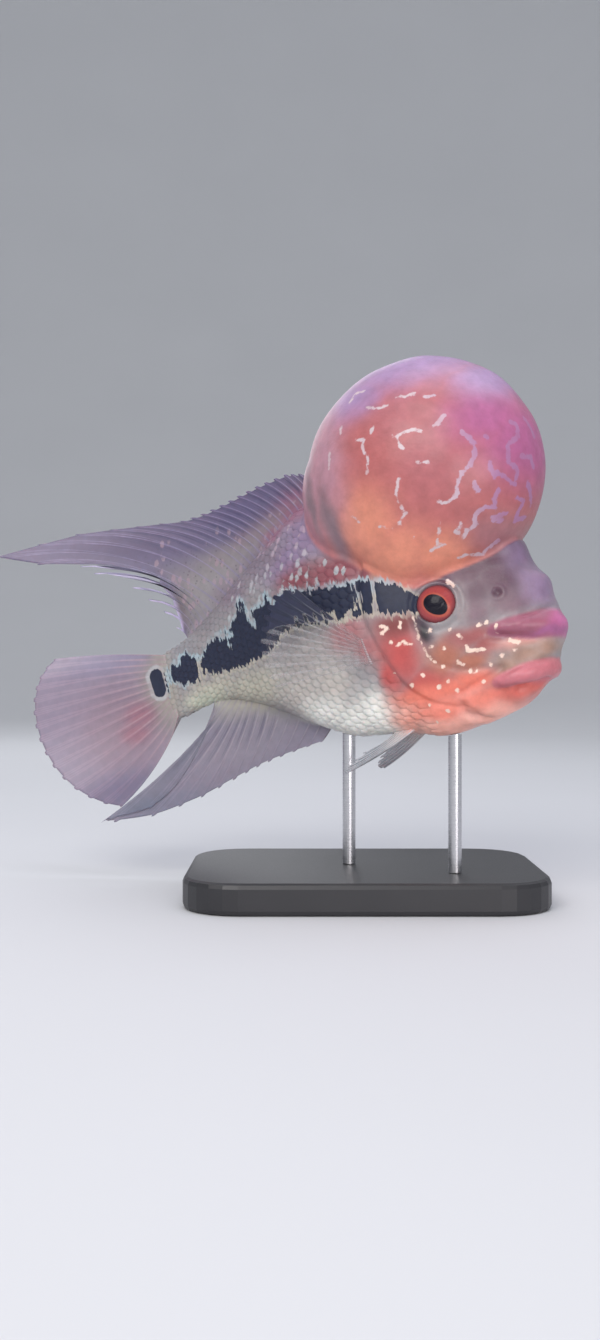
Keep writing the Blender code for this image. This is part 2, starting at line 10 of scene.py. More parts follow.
import bpy
import numpy as np
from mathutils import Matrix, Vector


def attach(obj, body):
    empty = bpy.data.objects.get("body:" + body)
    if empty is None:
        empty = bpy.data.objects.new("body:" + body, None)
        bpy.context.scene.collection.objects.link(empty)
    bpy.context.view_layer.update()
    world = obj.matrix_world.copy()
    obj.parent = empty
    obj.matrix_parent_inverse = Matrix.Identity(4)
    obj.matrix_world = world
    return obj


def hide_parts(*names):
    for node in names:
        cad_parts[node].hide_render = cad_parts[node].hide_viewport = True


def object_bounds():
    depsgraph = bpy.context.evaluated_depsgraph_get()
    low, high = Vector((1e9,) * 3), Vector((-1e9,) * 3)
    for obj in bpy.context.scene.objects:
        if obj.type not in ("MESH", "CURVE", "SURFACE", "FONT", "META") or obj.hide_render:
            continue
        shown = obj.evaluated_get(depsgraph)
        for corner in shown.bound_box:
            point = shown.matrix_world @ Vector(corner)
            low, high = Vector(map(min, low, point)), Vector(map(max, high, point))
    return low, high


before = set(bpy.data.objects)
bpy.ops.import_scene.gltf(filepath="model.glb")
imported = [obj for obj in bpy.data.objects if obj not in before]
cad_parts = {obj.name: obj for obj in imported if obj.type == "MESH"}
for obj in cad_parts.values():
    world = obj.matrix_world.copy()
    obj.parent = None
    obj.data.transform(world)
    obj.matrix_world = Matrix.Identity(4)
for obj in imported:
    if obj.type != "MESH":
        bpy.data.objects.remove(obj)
solid_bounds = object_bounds()

# Driving dimensions of the straight fish, in mm and degrees
STANDARD_LENGTH = 188.0
TAIL_ROOT = 178.0
HEAD_UP = 13.0
LEAN = 8.0
# Heading of the backbone at shares of the standard length
HEADINGS = ((-0.2, 19.0), (0.0, 20.0), (0.3, 25.0), (0.55, 36.5), (0.8, 27.0), (1.0, 12.5), (1.3, 1.0),
            (1.6, 0.0))
SNOUT_PLACE = (118.26, -43.27, 106.0)

# Body stations: back from snout, top, bottom, height of the widest line, half width
STATIONS = (
    (1.0, 10.0, -3.0, 1.0, 4.8),
    (2.5, 14.5, -5.0, 1.0, 7.2),
    (4.5, 20.5, -7.5, 1.0, 9.4),
    (6.5, 29.0, -12.0, 2.0, 11.0),
    (8.5, 35.0, -15.5, 3.0, 12.3),
    (13.0, 39.0, -18.8, 4.0, 14.4),
    (20.0, 42.0, -23.5, 6.0, 16.4),
    (30.0, 46.0, -26.3, 8.0, 18.3),
    (42.0, 52.0, -28.0, 10.0, 20.0),
    (54.0, 60.0, -28.5, 12.0, 21.1),
    (66.0, 68.5, -24.5, 15.0, 21.6),
    (80.0, 75.5, -21.5, 19.0, 21.2),
    (90.0, 77.5, -19.8, 22.0, 20.4),
    (102.0, 74.0, -14.3, 25.0, 18.6),
    (120.0, 65.5, -3.6, 28.0, 15.2),
    (140.0, 55.3, 7.3, 28.5, 11.0),
    (155.0, 47.0, 11.8, 28.0, 8.1),
    (165.0, 42.5, 11.2, 26.5, 6.2),
    (173.0, 40.0, 9.4, 25.0, 4.3),
    (178.0, 39.0, 9.0, 24.5, 2.6),
)
UPPER_FULLNESS = 0.95
LOWER_FULLNESS = 0.85

# Hump: a main ball, let down at its lower rear, a smaller lobe behind it and a drip under it on each side
HUMP_CENTRE = np.array((38.5, 0.0, 72.6))
HUMP_RADII = np.array((47.0, 37.0, 45.8))
HUMP_SAG = 6.5
SAG_PLACE = 52.0
SAG_REACH = 13.0
LOBE_CENTRE = np.array((66.0, 0.0, 70.0))
LOBE_RADII = np.array((22.0, 27.0, 31.0))
DRIP_CENTRE = np.array((50.0, 15.5, 35.0))
DRIP_RADII = np.array((6.5, 5.2, 6.5))

# Lips by front, corner, half width, height and drop to the corner, then the end and middle radius
UPPER_LIP = (4.4, 24.0, 15.4, 2.0, -2.4, 1.6, 5.3)
LOWER_LIP = (9.9, 27.0, 14.6, -13.0, 2.0, 1.5, 4.3)
MOUTH_LINE = (5.2, 25.0, 16.4, -3.7, -6.3)

# Lines on the side of the head, back from snout and height
GILL_EDGE = ((60, 110), (61, 56), (65, 40), (67.5, 29), (66.5, 17), (63.5, 5), (59, -7), (52, -15), (44, -19),
             (38, -23), (36, -45))
CHEEK_LINE = ((48, 24.6), (50, 17.3), (50, 10.1), (49, 4.2), (48, 0.0), (44, -3.8), (38, -6.8), (32, -8.1),
              (24, -9.6))
JAW_LINE = ((41, -15.2), (34, -13.1), (29, -11.6), (24, -10.5))
CHIN_LINE = ((21, -18.6), (16, -18.6), (11, -17.4))
GULAR_LINE = ((42, -18.9), (42.5, -21.7), (40, -24.3), (36, -26.4), (33, -28))
LIP_TOP_LINE = ((19, 3.8), (16, 4.5), (10, 6.6), (4, 8.0), (0, 8.4))
BAND_LINE = ((26, -14.7), (22, -12.4), (18, -11.8), (12, -11.1), (7, -10.2))
GILL_LIP = 0.9
# Folds of the skin: line, depth and half width
FOLDS = ((CHEEK_LINE, 0.6, 0.9), (JAW_LINE, 0.8, 1.1), (CHIN_LINE, 1.3, 1.2), (GULAR_LINE, 0.9, 1.2),
         (LIP_TOP_LINE, 0.9, 0.9), (BAND_LINE, 0.7, 0.8))
MOUTH_DEPTH = 2.0
MOUTH_WIDTH = 1.5
# Swellings of the forehead's outline: back from snout, height, reach and height of the swelling
FOREHEAD_SWELLINGS = ((12.0, 35.0, 5.0, 1.9), (4.0, 19.0, 5.0, 2.4))
NOSTRIL_PLACE = (18.9, 17.4)
NOSTRIL_RADIUS = 1.3

# Eyes
EYE_PLACE = (41.0, 19.3)
EYE_RADIUS = 8.4
EYE_SINK = 4.9
RIM_RADIUS = 7.6
SOCKET_DEPTH = 6.5
PUPIL_TILT = math.radians(45)
PUPIL_DROP = 0.12
PUPIL_HALVES = (0.56, 0.41)

# Finish of the meshes
SKIN_CELL = 0.83
SCALE_DEPTH = 0.35
# Scales: length and half height of one, the steps back and up between them, and what they lose to the tail
SCALES_START = 56.0
FLANK_MIDDLE = 110.0
SCALE_LENGTH = 5.4
SCALE_HALF = 2.25
SCALE_STEP = 3.5
SCALE_STEP_LOSS = 1.1
SCALE_SPACING = 3.6
SCALE_SHRINK = 0.28
# Rays of the fins: half width at the root and how much of it is lost, and the strip of web kept on a ray
RAY_WIDTH = 0.5
RAY_TAPER = 0.22
WEB_STRIP = (0.6, 1.3)
FLESHY_REACH = 0.12

# Colours, as linear red, green and blue
ROSE = (0.42, 0.125, 0.125)
SALMON = (0.68, 0.255, 0.17)
MAGENTA = (0.40, 0.115, 0.25)
# Painted light: lilac standing for the light falling from above onto the hump's top
LILAC_TOP_LIGHT = (0.34, 0.21, 0.39)
PALE_PINK = (0.48, 0.25, 0.31)
PEARL = (0.84, 0.64, 0.54)
ICE = (0.36, 0.45, 0.50)
CREAM = (0.46, 0.42, 0.35)
INK = (0.007, 0.010, 0.030)
INK_SHEEN = (0.018, 0.025, 0.058)
HUMP_MARK = (0.58, 0.47, 0.50)
HUMP_FRONT_MARK = (0.37, 0.175, 0.32)
FLANK_FLECK = (0.44, 0.46, 0.48)
BACK_FLECK = (0.42, 0.31, 0.38)
# Painted shade in the rims of the scales, where they sink into the skin
SCALE_RIM_SHADE = (0.10, 0.07, 0.08)
FIN_STREAK = (0.05, 0.05, 0.12)
FIN_FLECK = (0.38, 0.28, 0.33)
FIN_SPOT = (0.09, 0.08, 0.11)
FIN_RIM = (0.46, 0.46, 0.48)
IRIS_DARK = (0.24, 0.035, 0.05)
IRIS_BRIGHT = (0.50, 0.09, 0.08)
IRIS_OUTER = (0.22, 0.05, 0.06)
PUPIL_RING = (0.46, 0.10, 0.07)
PUPIL = (0.006, 0.005, 0.012)
PLATE_BLACKS = ((0.018, 0.018, 0.021), (0.034, 0.034, 0.038))
ROD_GREYS = ((0.50, 0.50, 0.52), (0.66, 0.66, 0.68))
FLOOR_GREYS = ((0.62, 0.63, 0.65), (0.66, 0.67, 0.69))
SKY_COLOUR = (0.86, 0.88, 0.93)
SKY_STRENGTH = 0.66

# Light scattered under wet fish skin and the clear film over it, the radius for red, green and blue
WET_SKIN = dict(Subsurface_Weight=0.18, Subsurface_Radius=(1.0, 0.35, 0.25), Subsurface_Scale=0.003,
                Specular_IOR_Level=0.38, Coat_Weight=0.18, Coat_Roughness=0.22)
FIN_FINISHES = {
    "fin_lilac": dict(ray=(0.24, 0.21, 0.33), ray_fade=0.9, streak=0.75, streak_rays=(0, 17),
                      streak_start=0.25, clearness=0.2, flecks=0.85),
    "fin_grey": dict(ray=(0.32, 0.29, 0.34), ray_fade=0.4, streak=0.6, streak_rays=(6, 16),
                     streak_start=0.02, clearness=0.22),
    "fin_pink": dict(ray=(0.36, 0.26, 0.29), ray_fade=0.2, streak=0.25, streak_rays=(4, 11),
                     streak_start=0.02, clearness=0.18),
    "fin_clear": dict(ray=(0.50, 0.48, 0.50), ray_fade=0.9, streak=0.0, streak_rays=(0, 20), streak_start=0.0,
                      clearness=0.97, ray_solid=0.2, root_solid=0.04),
    "fin_white": dict(ray=(0.50, 0.50, 0.54), ray_fade=0.9, streak=0.1, streak_rays=(0, 20), streak_start=0.0,
                      clearness=0.42),
}

# The stage and the camera in metres, the lamps by place, size, power and colour
FLOOR_REACH = 1.2
WALL_REACH = 2.6
LAMPS = (
    ("key_lamp", (-0.45, -1.1, 0.9), 0.9, 12.2, (1.0, 0.97, 0.94)),
    ("top_lamp", (0.2, 0.0, 1.1), 0.8, 4.0, (0.86, 0.86, 1.0)),
    ("front_lamp", (0.5, -1.1, 0.05), 0.7, 7.4, (1.0, 0.95, 0.95)),
    ("rear_lamp", (-0.3, 1.1, 0.7), 0.8, 2.5, (0.95, 0.96, 1.0)),
)
CAMERA_PLACE = (0.01863, -0.54327, 0.08996)
SIDES = ((1, "right"), (-1, "left"))


# Curves and the body's surface
def curve(knots, values, at):
    """Cubic Hermite curve through the knots, with centred slopes."""
    knots = np.asarray(knots, float)
    values = np.asarray(values, float)
    at = np.asarray(at, float)
    slopes = np.gradient(values, knots)
    i = np.clip(np.searchsorted(knots, at, side="right") - 1, 0, len(knots) - 2)
    step = knots[i + 1] - knots[i]
    t = np.clip((at - knots[i]) / step, 0, 1)
    blend = 3 * t**2 - 2 * t**3
    ends = values[i] * (1 - blend) + values[i + 1] * blend
    return ends + step * ((t**3 - 2 * t**2 + t) * slopes[i] + (t**3 - t**2) * slopes[i + 1])


def follow(rows, at, column=1):
    """Smooth curve through one column of a list, along its first column."""
    return curve([row[0] for row in rows], [row[column] for row in rows], at)


def station(column, x):
    """Value of one column of the station list at a distance back from the snout."""
    return follow(STATIONS, x, column)


def unit(vectors):
    """Vectors made one long."""
    return vectors / np.maximum(np.linalg.norm(vectors, axis=-1, keepdims=True), 1e-9)


def bell(distance, width):
    """Bell of height 1 in its middle: e to minus the square of the distance over the width."""
    return np.exp(-(distance / width) ** 2)


def on_right(points):
    """Places with the left side turned over onto the right."""
    return np.stack([points[:, 0], np.abs(points[:, 1]), points[:, 2]], axis=1)


def body_section(x, turn):
    """Place on the body: its station and the angle from its top, positive on the right side.

    The section is an ellipse above and another below the widest line, its width raised to a fullness.
    """
    top, low, mid, half = (station(column, x) for column in (1, 2, 3, 4))
    up, side = np.cos(turn), np.sin(turn)
    z = mid + np.where(up > 0, (top - mid) * up, (mid - low) * up)
    fullness = np.where(up > 0, UPPER_FULLNESS, LOWER_FULLNESS)
    return np.stack([x, half * np.sign(side) * np.abs(side) ** fullness, z], axis=-1)


def from_widest(x, z):
    """Share of the way from the widest line up to the top or down to the bottom, and the fullness there."""
    mid = station(3, x)
    upper = z > mid
    reach = np.where(upper, (z - mid) / (station(1, x) - mid), (mid - z) / (mid - station(2, x)))
    return reach, np.where(upper, UPPER_FULLNESS, LOWER_FULLNESS)


def body_level(points):
    """How far out a place is from the body's middle: 1 on its surface, less inside."""
    x, y, z = points.T
    reach, fullness = from_widest(x, z)
    return np.sqrt(reach**2 + np.abs(y / station(4, x)) ** (2 / fullness))


def body_side(x, z):
    """Half width of the body at a station and a height."""
    reach, fullness = from_widest(x, z)
    return station(4, x) * np.clip(1 - reach**2, 0, 1) ** (fullness / 2)


def ball_level(points, centre, radii):
    """Distance from a ball's centre in units of its radii: 1 on its surface."""
    return np.sqrt((((points - centre) / radii) ** 2).sum(axis=1))


# The pose
BEND_X = np.linspace(-30, 290, 641)
BEND_ANGLE = np.radians(follow(HEADINGS, BEND_X / STANDARD_LENGTH))


def running_total(values):
    """Trapezoid sum along the backbone, zero at the snout."""
    steps = (values[1:] + values[:-1]) / 2 * np.diff(BEND_X)
    total = np.concatenate(([0.0], np.cumsum(steps)))
    return total - np.interp(0.0, BEND_X, total)


BEND_FORWARD = -running_total(np.cos(BEND_ANGLE))
BEND_AWAY = running_total(np.sin(BEND_ANGLE))


def pose(points):
    """Bend the straight fish along its backbone, lean it, lift its head and set it in place, in metres."""
    x, y, z = np.asarray(points, float).T
    turn = np.interp(x, BEND_X, BEND_ANGLE)
    ahead = np.interp(x, BEND_X, BEND_FORWARD) - np.sin(turn) * y
    away = np.interp(x, BEND_X, BEND_AWAY) - np.cos(turn) * y
    lean, lift = math.radians(LEAN), math.radians(HEAD_UP)
    away, high = away * math.cos(lean) + z * math.sin(lean), z * math.cos(lean) - away * math.sin(lean)
    raised = ahead * math.sin(lift) + high * math.cos(lift)
    ahead = ahead * math.cos(lift) - high * math.sin(lift)
    return (np.stack([ahead, away, raised], axis=1) + np.array(SNOUT_PLACE)) * 0.001


# Meshes from arrays
def grid_faces(rows, columns, around=False):
    """Corner numbers of a grid's four-sided faces; its last column meets the first if it goes around."""
    index = np.arange(rows * columns).reshape(rows, columns)
    if around:
        index = np.concatenate([index, index[:, :1]], axis=1)
    corners = (index[:-1, :-1], index[1:, :-1], index[1:, 1:], index[:-1, 1:])
    return np.stack(corners, axis=-1).reshape(-1, 4)


def plain_object(name, points, faces):
    """Object from corner places and lists of corner numbers."""
    mesh = bpy.data.meshes.new(name)
    mesh.from_pydata([tuple(point) for point in np.asarray(points)], [], [list(face) for face in faces])
    mesh.update()
    thing = bpy.data.objects.new(name, mesh)
    bpy.context.scene.collection.objects.link(thing)
    return thing


def read(items, word, width=1, kind=float):
    """Array of one value of each of a mesh's items, so many numbers to each."""
    values = np.empty(len(items) * width, kind)
    items.foreach_get(word, values)
    return values


def store(mesh, name, values):
    """Keep one value for each corner as an attribute: a number, the colour "ground" or else a place."""
    values = np.asarray(values, float)
    if values.ndim == 1:
        mesh.attributes.new(name, "FLOAT", "POINT").data.foreach_set("value", values)
    elif name == "ground":
        colours = np.concatenate([values, np.ones((len(values), 1))], axis=1)
        mesh.attributes.new(name, "FLOAT_COLOR", "POINT").data.foreach_set("color", colours.ravel())
    else:
        mesh.attributes.new(name, "FLOAT_VECTOR", "POINT").data.foreach_set("vector", values.ravel())


def fish_piece(name, lie, faces, slot, replaced=(), **kept):
    """Piece of the fish: straight places are posed, kept as "lie", and the piece is hung under the body's root
    empty.
    """
    thing = plain_object(name, pose(lie), faces)
    store(thing.data, "lie", lie)
    for word, values in kept.items():
        store(thing.data, word, values)
    thing.data.shade_smooth()
    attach(thing, "root")
    if replaced:
        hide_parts(*replaced)
    return thing


def outward(points, faces):
    """Unit normals of the corners of four-sided faces: the mean of the cross products of diagonals."""
    a, b, c, d = (points[faces[:, k]] for k in range(4))
    cross = np.cross(c - a, d - b)
    total = np.zeros_like(points)
    for axis in range(3):
        total[:, axis] = sum(np.bincount(faces[:, k], cross[:, axis], len(points)) for k in range(4))
    return unit(total)


def smoothed(points, faces, rounds, share):
    """Move every corner towards the mean of its neighbours, some rounds by a share of the way."""
    edges = np.concatenate([faces[:, (0, 1)], faces[:, (1, 2)], faces[:, (2, 3)], faces[:, (3, 0)]])
    count = np.bincount(edges.ravel(), minlength=len(points))[:, None]
    for _ in range(rounds):
        total = np.empty_like(points)
        for axis in range(3):
            total[:, axis] = (np.bincount(edges[:, 0], points[edges[:, 1], axis], len(points))
                              + np.bincount(edges[:, 1], points[edges[:, 0], axis], len(points)))
        points = points + share * (total / count - points)
    return points


def steps_between(values, low, high):
    """Smooth step from 0 at low to 1 at high."""
    t = np.clip((values - low) / (high - low), 0, 1)
    return t * t * (3 - 2 * t)


def line_distance(x, z, line, fine=6):
    """Signed distance to a smooth line on the side of the fish: positive on its rear or lower side.

    The line is a curve through its points, cut into short straight pieces, and the nearest piece counts.
    """
    knots = np.arange(len(line))
    at = np.linspace(0, len(line) - 1, (len(line) - 1) * fine + 1)
    line_x = curve(knots, [point[0] for point in line], at)
    line_z = curve(knots, [point[1] for point in line], at)
    best = np.full(len(x), 1e6)
    side = np.ones(len(x))
    for i in range(len(at) - 1):
        run_x, run_z = line_x[i + 1] - line_x[i], line_z[i + 1] - line_z[i]
        t = np.clip(((x - line_x[i]) * run_x + (z - line_z[i]) * run_z) / (run_x**2 + run_z**2), 0, 1)
        off_x, off_z = x - line_x[i] - t * run_x, z - line_z[i] - t * run_z
        distance = np.hypot(off_x, off_z)
        near = distance < best
        best = np.where(near, distance, best)
        side = np.where(near, np.sign(run_x * off_z - run_z * off_x), side)
    return best * side


# Skin
def globe(rows, columns, gap):
    """Ball of radius 1 as rings, by the sines and cosines of the angles down from its pole and round it.

    The first and last ring are a small gap off the poles. Returns the angles down, too.
    """
    down = np.linspace(gap, np.pi - gap, rows)
    around = np.linspace(0, 2 * np.pi, columns, endpoint=False)
    down, around = np.meshgrid(down, around, indexing="ij")
    places = np.stack([np.sin(down) * np.cos(around), np.sin(down) * np.sin(around), np.cos(down)], axis=-1)
    return down, places


def ball_grid(centre, radii, rows=72, columns=110, sag=0.0):
    """Ball as rings from its top to its bottom, its lower rear part let down by sag."""
    places = globe(rows, columns, 0.01)[1].reshape(-1, 3)
    points = centre + places * radii
    below = np.clip(-places[:, 2], 0, 1)
    points[:, 2] -= sag * bell(points[:, 0] - SAG_PLACE, SAG_REACH) * below**2
    return points, closed_grid(rows, columns)


def closed_grid(rows, columns):
    """Faces of a grid that goes around, with a many-sided face at each end."""
    faces = grid_faces(rows, columns, around=True).tolist()
    faces.append(list(range(columns)))
    faces.append(list(range(rows * columns - 1, (rows - 1) * columns - 1, -1)))
    return faces


def lip_path(sizes, turn):
    """Half ellipse round the snout from corner to corner, by front, corner, half width, height and drop."""
    front, corner, half_width, height, drop = sizes[:5]
    x = corner - (corner - front) * np.cos(turn)
    return np.stack([x, half_width * np.sin(turn), height - drop * (1 - np.cos(turn))], axis=-1)


def lip_radius(sizes, turn):
    """Radius of a lip: its end radius, and more towards the middle by a power of the cosine."""
    return sizes[5] + (sizes[6] - sizes[5]) * np.cos(turn) ** 0.8


def lip_grid(sizes, rows=60, columns=24):
    """Tube along a lip's path, thickest in the middle of the mouth."""
    turn = np.linspace(-np.pi / 2, np.pi / 2, rows)
    path = lip_path(sizes, turn)
    along = unit(np.gradient(path, axis=0))
    level = unit(np.cross(along, (0.0, 0.0, 1.0)))
    upright = np.cross(level, along)
    radius = lip_radius(sizes, turn)
    angle = np.linspace(0, 2 * np.pi, columns, endpoint=False)
    ring = level[:, None] * np.cos(angle)[None, :, None] + upright[:, None] * np.sin(angle)[None, :, None]
    return (path[:, None] + ring * radius[:, None, None]).reshape(-1, 3), closed_grid(rows, columns)


def body_grid(rows=150, columns=120):
    """Body from the snout to the tail root as rings at stations, closer together at the snout."""
    x = 1.0 + (TAIL_ROOT - 1.0) * np.linspace(0, 1, rows) ** 1.3
    turn = np.linspace(0, 2 * np.pi, columns, endpoint=False)
    x, turn = np.meshgrid(x, turn, indexing="ij")
    return body_section(x, turn).reshape(-1, 3), closed_grid(rows, columns)


def joined_skin():
    """One closed surface round the body, hump, lobe, drips and lips: corner places and four-sided faces.

    The remesh cuts its cells at one size, and a three-sided face repeats its last corner.
    """
    parts = [body_grid(), ball_grid(HUMP_CENTRE, HUMP_RADII, sag=HUMP_SAG),
             ball_grid(LOBE_CENTRE, LOBE_RADII), ball_grid(DRIP_CENTRE, DRIP_RADII, 24, 32),
             ball_grid(DRIP_CENTRE * (1, -1, 1), DRIP_RADII, 24, 32),
             lip_grid(UPPER_LIP), lip_grid(LOWER_LIP)]
    points, faces = [], []
    for part_points, part_faces in parts:
        start = sum(len(part) for part in points)
        points.append(part_points)
        faces += [[corner + start for corner in face] for face in part_faces]
    rough = plain_object("rough_skin", np.concatenate(points), faces)
    cells = rough.modifiers.new("Cells", "REMESH")
    cells.mode = "VOXEL"
    cells.voxel_size = SKIN_CELL
    mesh = bpy.data.meshes.new_from_object(rough.evaluated_get(bpy.context.evaluated_depsgraph_get()))
    bpy.data.objects.remove(rough, do_unlink=True)
    corners = read(mesh.loops, "vertex_index", kind=int)
    sides = read(mesh.polygons, "loop_total", kind=int)
    starts = read(mesh.polygons, "loop_start", kind=int)
    order = np.minimum(np.arange(4)[None], sides[:, None] - 1)
    return read(mesh.vertices, "co", 3).reshape(-1, 3), corners[starts[:, None] + order]


def eye_frame():
    """Place of the right eye on the skin and the outward direction there."""
    x, z = EYE_PLACE
    step = 0.5
    along = (body_side(x + step, z) - body_side(x - step, z)) / (2 * step)
    above = (body_side(x, z + step) - body_side(x, z - step)) / (2 * step)
    return np.array([x, float(body_side(x, z)), z]), unit(np.array([-float(along), 1.0, -float(above)]))


def crease(distance, depth, width):
    """Height of a fold: a groove along its line, with a soft swelling on both sides."""
    return depth * (0.3 * bell(np.abs(distance) - 2.4 * width, 1.5 * width) - bell(distance, width))


def rolling(points, size):
    """Soft, even lumps: a product of slow waves in three directions, from -1 to 1."""
    x, y, z = (points / size).T
    waves = np.sin(x + 1.7 * np.sin(0.6 * z)) * np.sin(0.9 * z + 1.3 * np.sin(0.5 * y))
    return waves * np.cos(0.7 * y + 0.4 * x)


def gill_distance(points):
    """Distance from the rear edge of the gill cover along the side, positive behind it."""
    return line_distance(points[:, 0], points[:, 2], GILL_EDGE)


def skin_relief(points):
    """How far each corner of the skin is moved out, less room for the scales.

    It adds the gill cover's edge, folds, mouth, orbit, nostrils, forehead and soft lumps of the hump.
    """
    mirrored = on_right(points)
    x, y, z = mirrored.T
    on_body = 1 - steps_between(body_level(points), 1.03, 1.12)
    sideways = steps_between(y, 2.0, 6.0) * on_body
    behind = gill_distance(points)
    cover = GILL_LIP * np.clip((x - 48) / 12, 0, 1) * (1 - steps_between(behind, -0.4, 0.6))
    relief = sideways * (cover - 0.7 * bell(behind - 0.9, 0.9))
    for line, depth, width in FOLDS:
        relief += sideways * crease(line_distance(x, z, line), depth, width)
    gap = np.full(len(x), 1e6)
    for place in lip_path(MOUTH_LINE, np.linspace(0, np.pi / 2, 60)):
        gap = np.minimum(gap, np.linalg.norm(mirrored - place, axis=1))
    relief -= MOUTH_DEPTH * bell(gap, MOUTH_WIDTH)
    place, direction = eye_frame()
    from_eye = mirrored - place
    depth = from_eye @ direction
    round_eye = np.linalg.norm(from_eye - depth[:, None] * direction, axis=1)
    facing = on_body * steps_between(depth, -6, -3)
    off_rim = round_eye - RIM_RADIUS
    relief += facing * (0.9 * bell(off_rim, 0.8) - 0.5 * bell(off_rim - 2.2, 0.8)
                        - SOCKET_DEPTH * (1 - steps_between(off_rim, -1.7, -0.5)))
    nostril_x, nostril_z = NOSTRIL_PLACE
    round_nostril = np.hypot(x - nostril_x, z - nostril_z)
    relief += sideways * (0.5 * bell(round_nostril - 2.0, 0.6) - 1.6 * bell(round_nostril, NOSTRIL_RADIUS))
    for swell_x, swell_z, reach, height in FOREHEAD_SWELLINGS:
        swelling = height * bell(np.hypot(x - swell_x, z - swell_z), reach)
        relief += swelling * on_body * (1 - steps_between(y, 6, 13))
    on_hump = steps_between(body_level(points), 1.03, 1.1)
    relief += on_hump * 0.35 * rolling(points, 5.5)
    relief -= scaled_share(points) * SCALE_DEPTH
    return relief


def off_hump(points):
    """Distance from the hump's main ball, with its sag, from its lobe or from the drip under it, in mm."""
    mirrored = on_right(points)
    below = np.clip((HUMP_CENTRE[2] - points[:, 2]) / HUMP_RADII[2], 0, 1)
    raised = mirrored.copy()
    raised[:, 2] += HUMP_SAG * bell(points[:, 0] - SAG_PLACE, SAG_REACH) * below**2
    balls = ((raised, HUMP_CENTRE, HUMP_RADII), (mirrored, LOBE_CENTRE, LOBE_RADII),
             (mirrored, DRIP_CENTRE, DRIP_RADII))
    return np.min([(ball_level(places, centre, radii) - 1) * radii.mean() for places, centre, radii in balls],
                  axis=0)


def scaled_share(points):
    """Where the body carries scales: behind the gill cover and clear of the hump, from 0 to 1."""
    return (steps_between(gill_distance(points), 1.2, 3.0) * steps_between(off_hump(points), 1.2, 3.0)
            * (1 - steps_between(body_level(points), 1.03, 1.1)))


# Markings. Pale strokes on the hump by degrees round from its right side to the front, and degrees up
HUMP_STROKES = (
    ((-16, 15), (-11, 14), (-13, 10), (-11, 5), (-13, -2)),
    ((-6, 18), (-8, 15)),
    ((2, 10), (6, 10), (11, 10), (15, 8)),
    ((4, 10), (4, 5), (5, 3)),
    ((20, 9), (23, 10), (26, 13)),
    ((9, -5), (14, -7)),
    ((0, -10), (-3, -16), (-3, -20), (-2, -26), (-7, -30)),
    ((-17, -28), (-11, -31)),
    ((-28, -18), (-26, -22)),
    ((-3, -39), (-6, -42), (-14, -45)),
    ((13, -36), (11, -41), (8, -47)),
    ((1, -49), (9, -48), (13, -48)),
    ((-29, -43), (-24, -47)),
    ((-19, -48), (-16, -51)),
    ((-35, -48), (-39, -51), (-51, -55)),
    ((-30, -61), (-39, -62)),
    ((32, 3), (36, -3), (36, -7), (32, -13), (28, -15), (25, -20), (24, -25), (19, -27), (13, -25)),
    ((33, -21), (35, -25)),
    ((42, -13), (42, -16), (44, -20)),
    ((46, -18), (52, -22), (57, -24), (59, -18), (53, -14), (53, -9), (54, -6), (62, -2), (63, 3), (60, 5)),
    ((42, -1), (43, -2)),
    ((47, -26), (44, -30), (45, -34), (39, -33), (33, -36), (34, -41), (28, -43), (26, -47), (21, -42),
     (25, -39)),
    ((54, -38), (45, -39), (46, -41), (52, -41)),
    ((61, -31), (67, -32), (65, -38), (65, -42), (77, -40)),
    ((62, -12), (70, -12), (72, -16)),
    ((68, -24), (74, -30), (78, -34)),
    ((72, 7), (77, -1)),
    ((19, -58), (28, -57), (45, -59), (50, -56), (57, -52)),
    ((-32, 16), (-33, 8)),
    ((-25, 26), (-25, 23)),
    ((-23, 40), (-22, 46), (-12, 44)),
    ((-9, 31), (-5, 28), (2, 27)),
    ((7, 30), (12, 29), (16, 29)),
    ((20, 26), (25, 25)),
)
# Half widths of the strokes on the hump's side and, softer, round on its front
HUMP_STROKE_WIDTHS = (0.5, 1.0)
# Pale dashes and pearls of the cheek and gill cover, back from the snout and height
CHEEK_STROKES = (
    ((34, 1.0), (34, -0.9), (28, -1.9)),
    ((46, 9.3), (45, 10.5)),
    ((58, 8.1), (56, 8.8), (53, 6.9)),
    ((62, 16.6), (60, 15.2)),
    ((62, 13.8), (60, 15.2)),
    ((55, 16.0), (55.5, 14.0)),
    ((35.5, 26.6), (33.5, 24.4)),
    ((19, -1.0), (16, -2.3)),
    ((22, 5.7), (22.5, 3.4)),
    ((36, 5.9), (35.6, 4.2)),
    ((38.6, -4.2), (37, -5.2)),
)
CHEEK_PEARLS = (
    (62, -1.8), (57, -7.9), (52, -5.4), (48, -10.9), (44, -9.5), (42, -13.7), (32, -13.0), (46, 3.9),
    (42, 2.4), (44, -4.1), (28, -7.8), (35, -8.3), (33, -8.6), (38, 8.6), (28, 7.3), (25, 7.4), (23, -5.8),
    (18, -4.9), (60, 9.9), (61, -13.8), (64, -14.8), (67, -10.1), (54, -16.5), (48, -19.8), (54, -23.0),
    (62, -18.5),
)
CHEEK_STROKE_WIDTH = 0.65
PEARL_WIDTH = 0.8
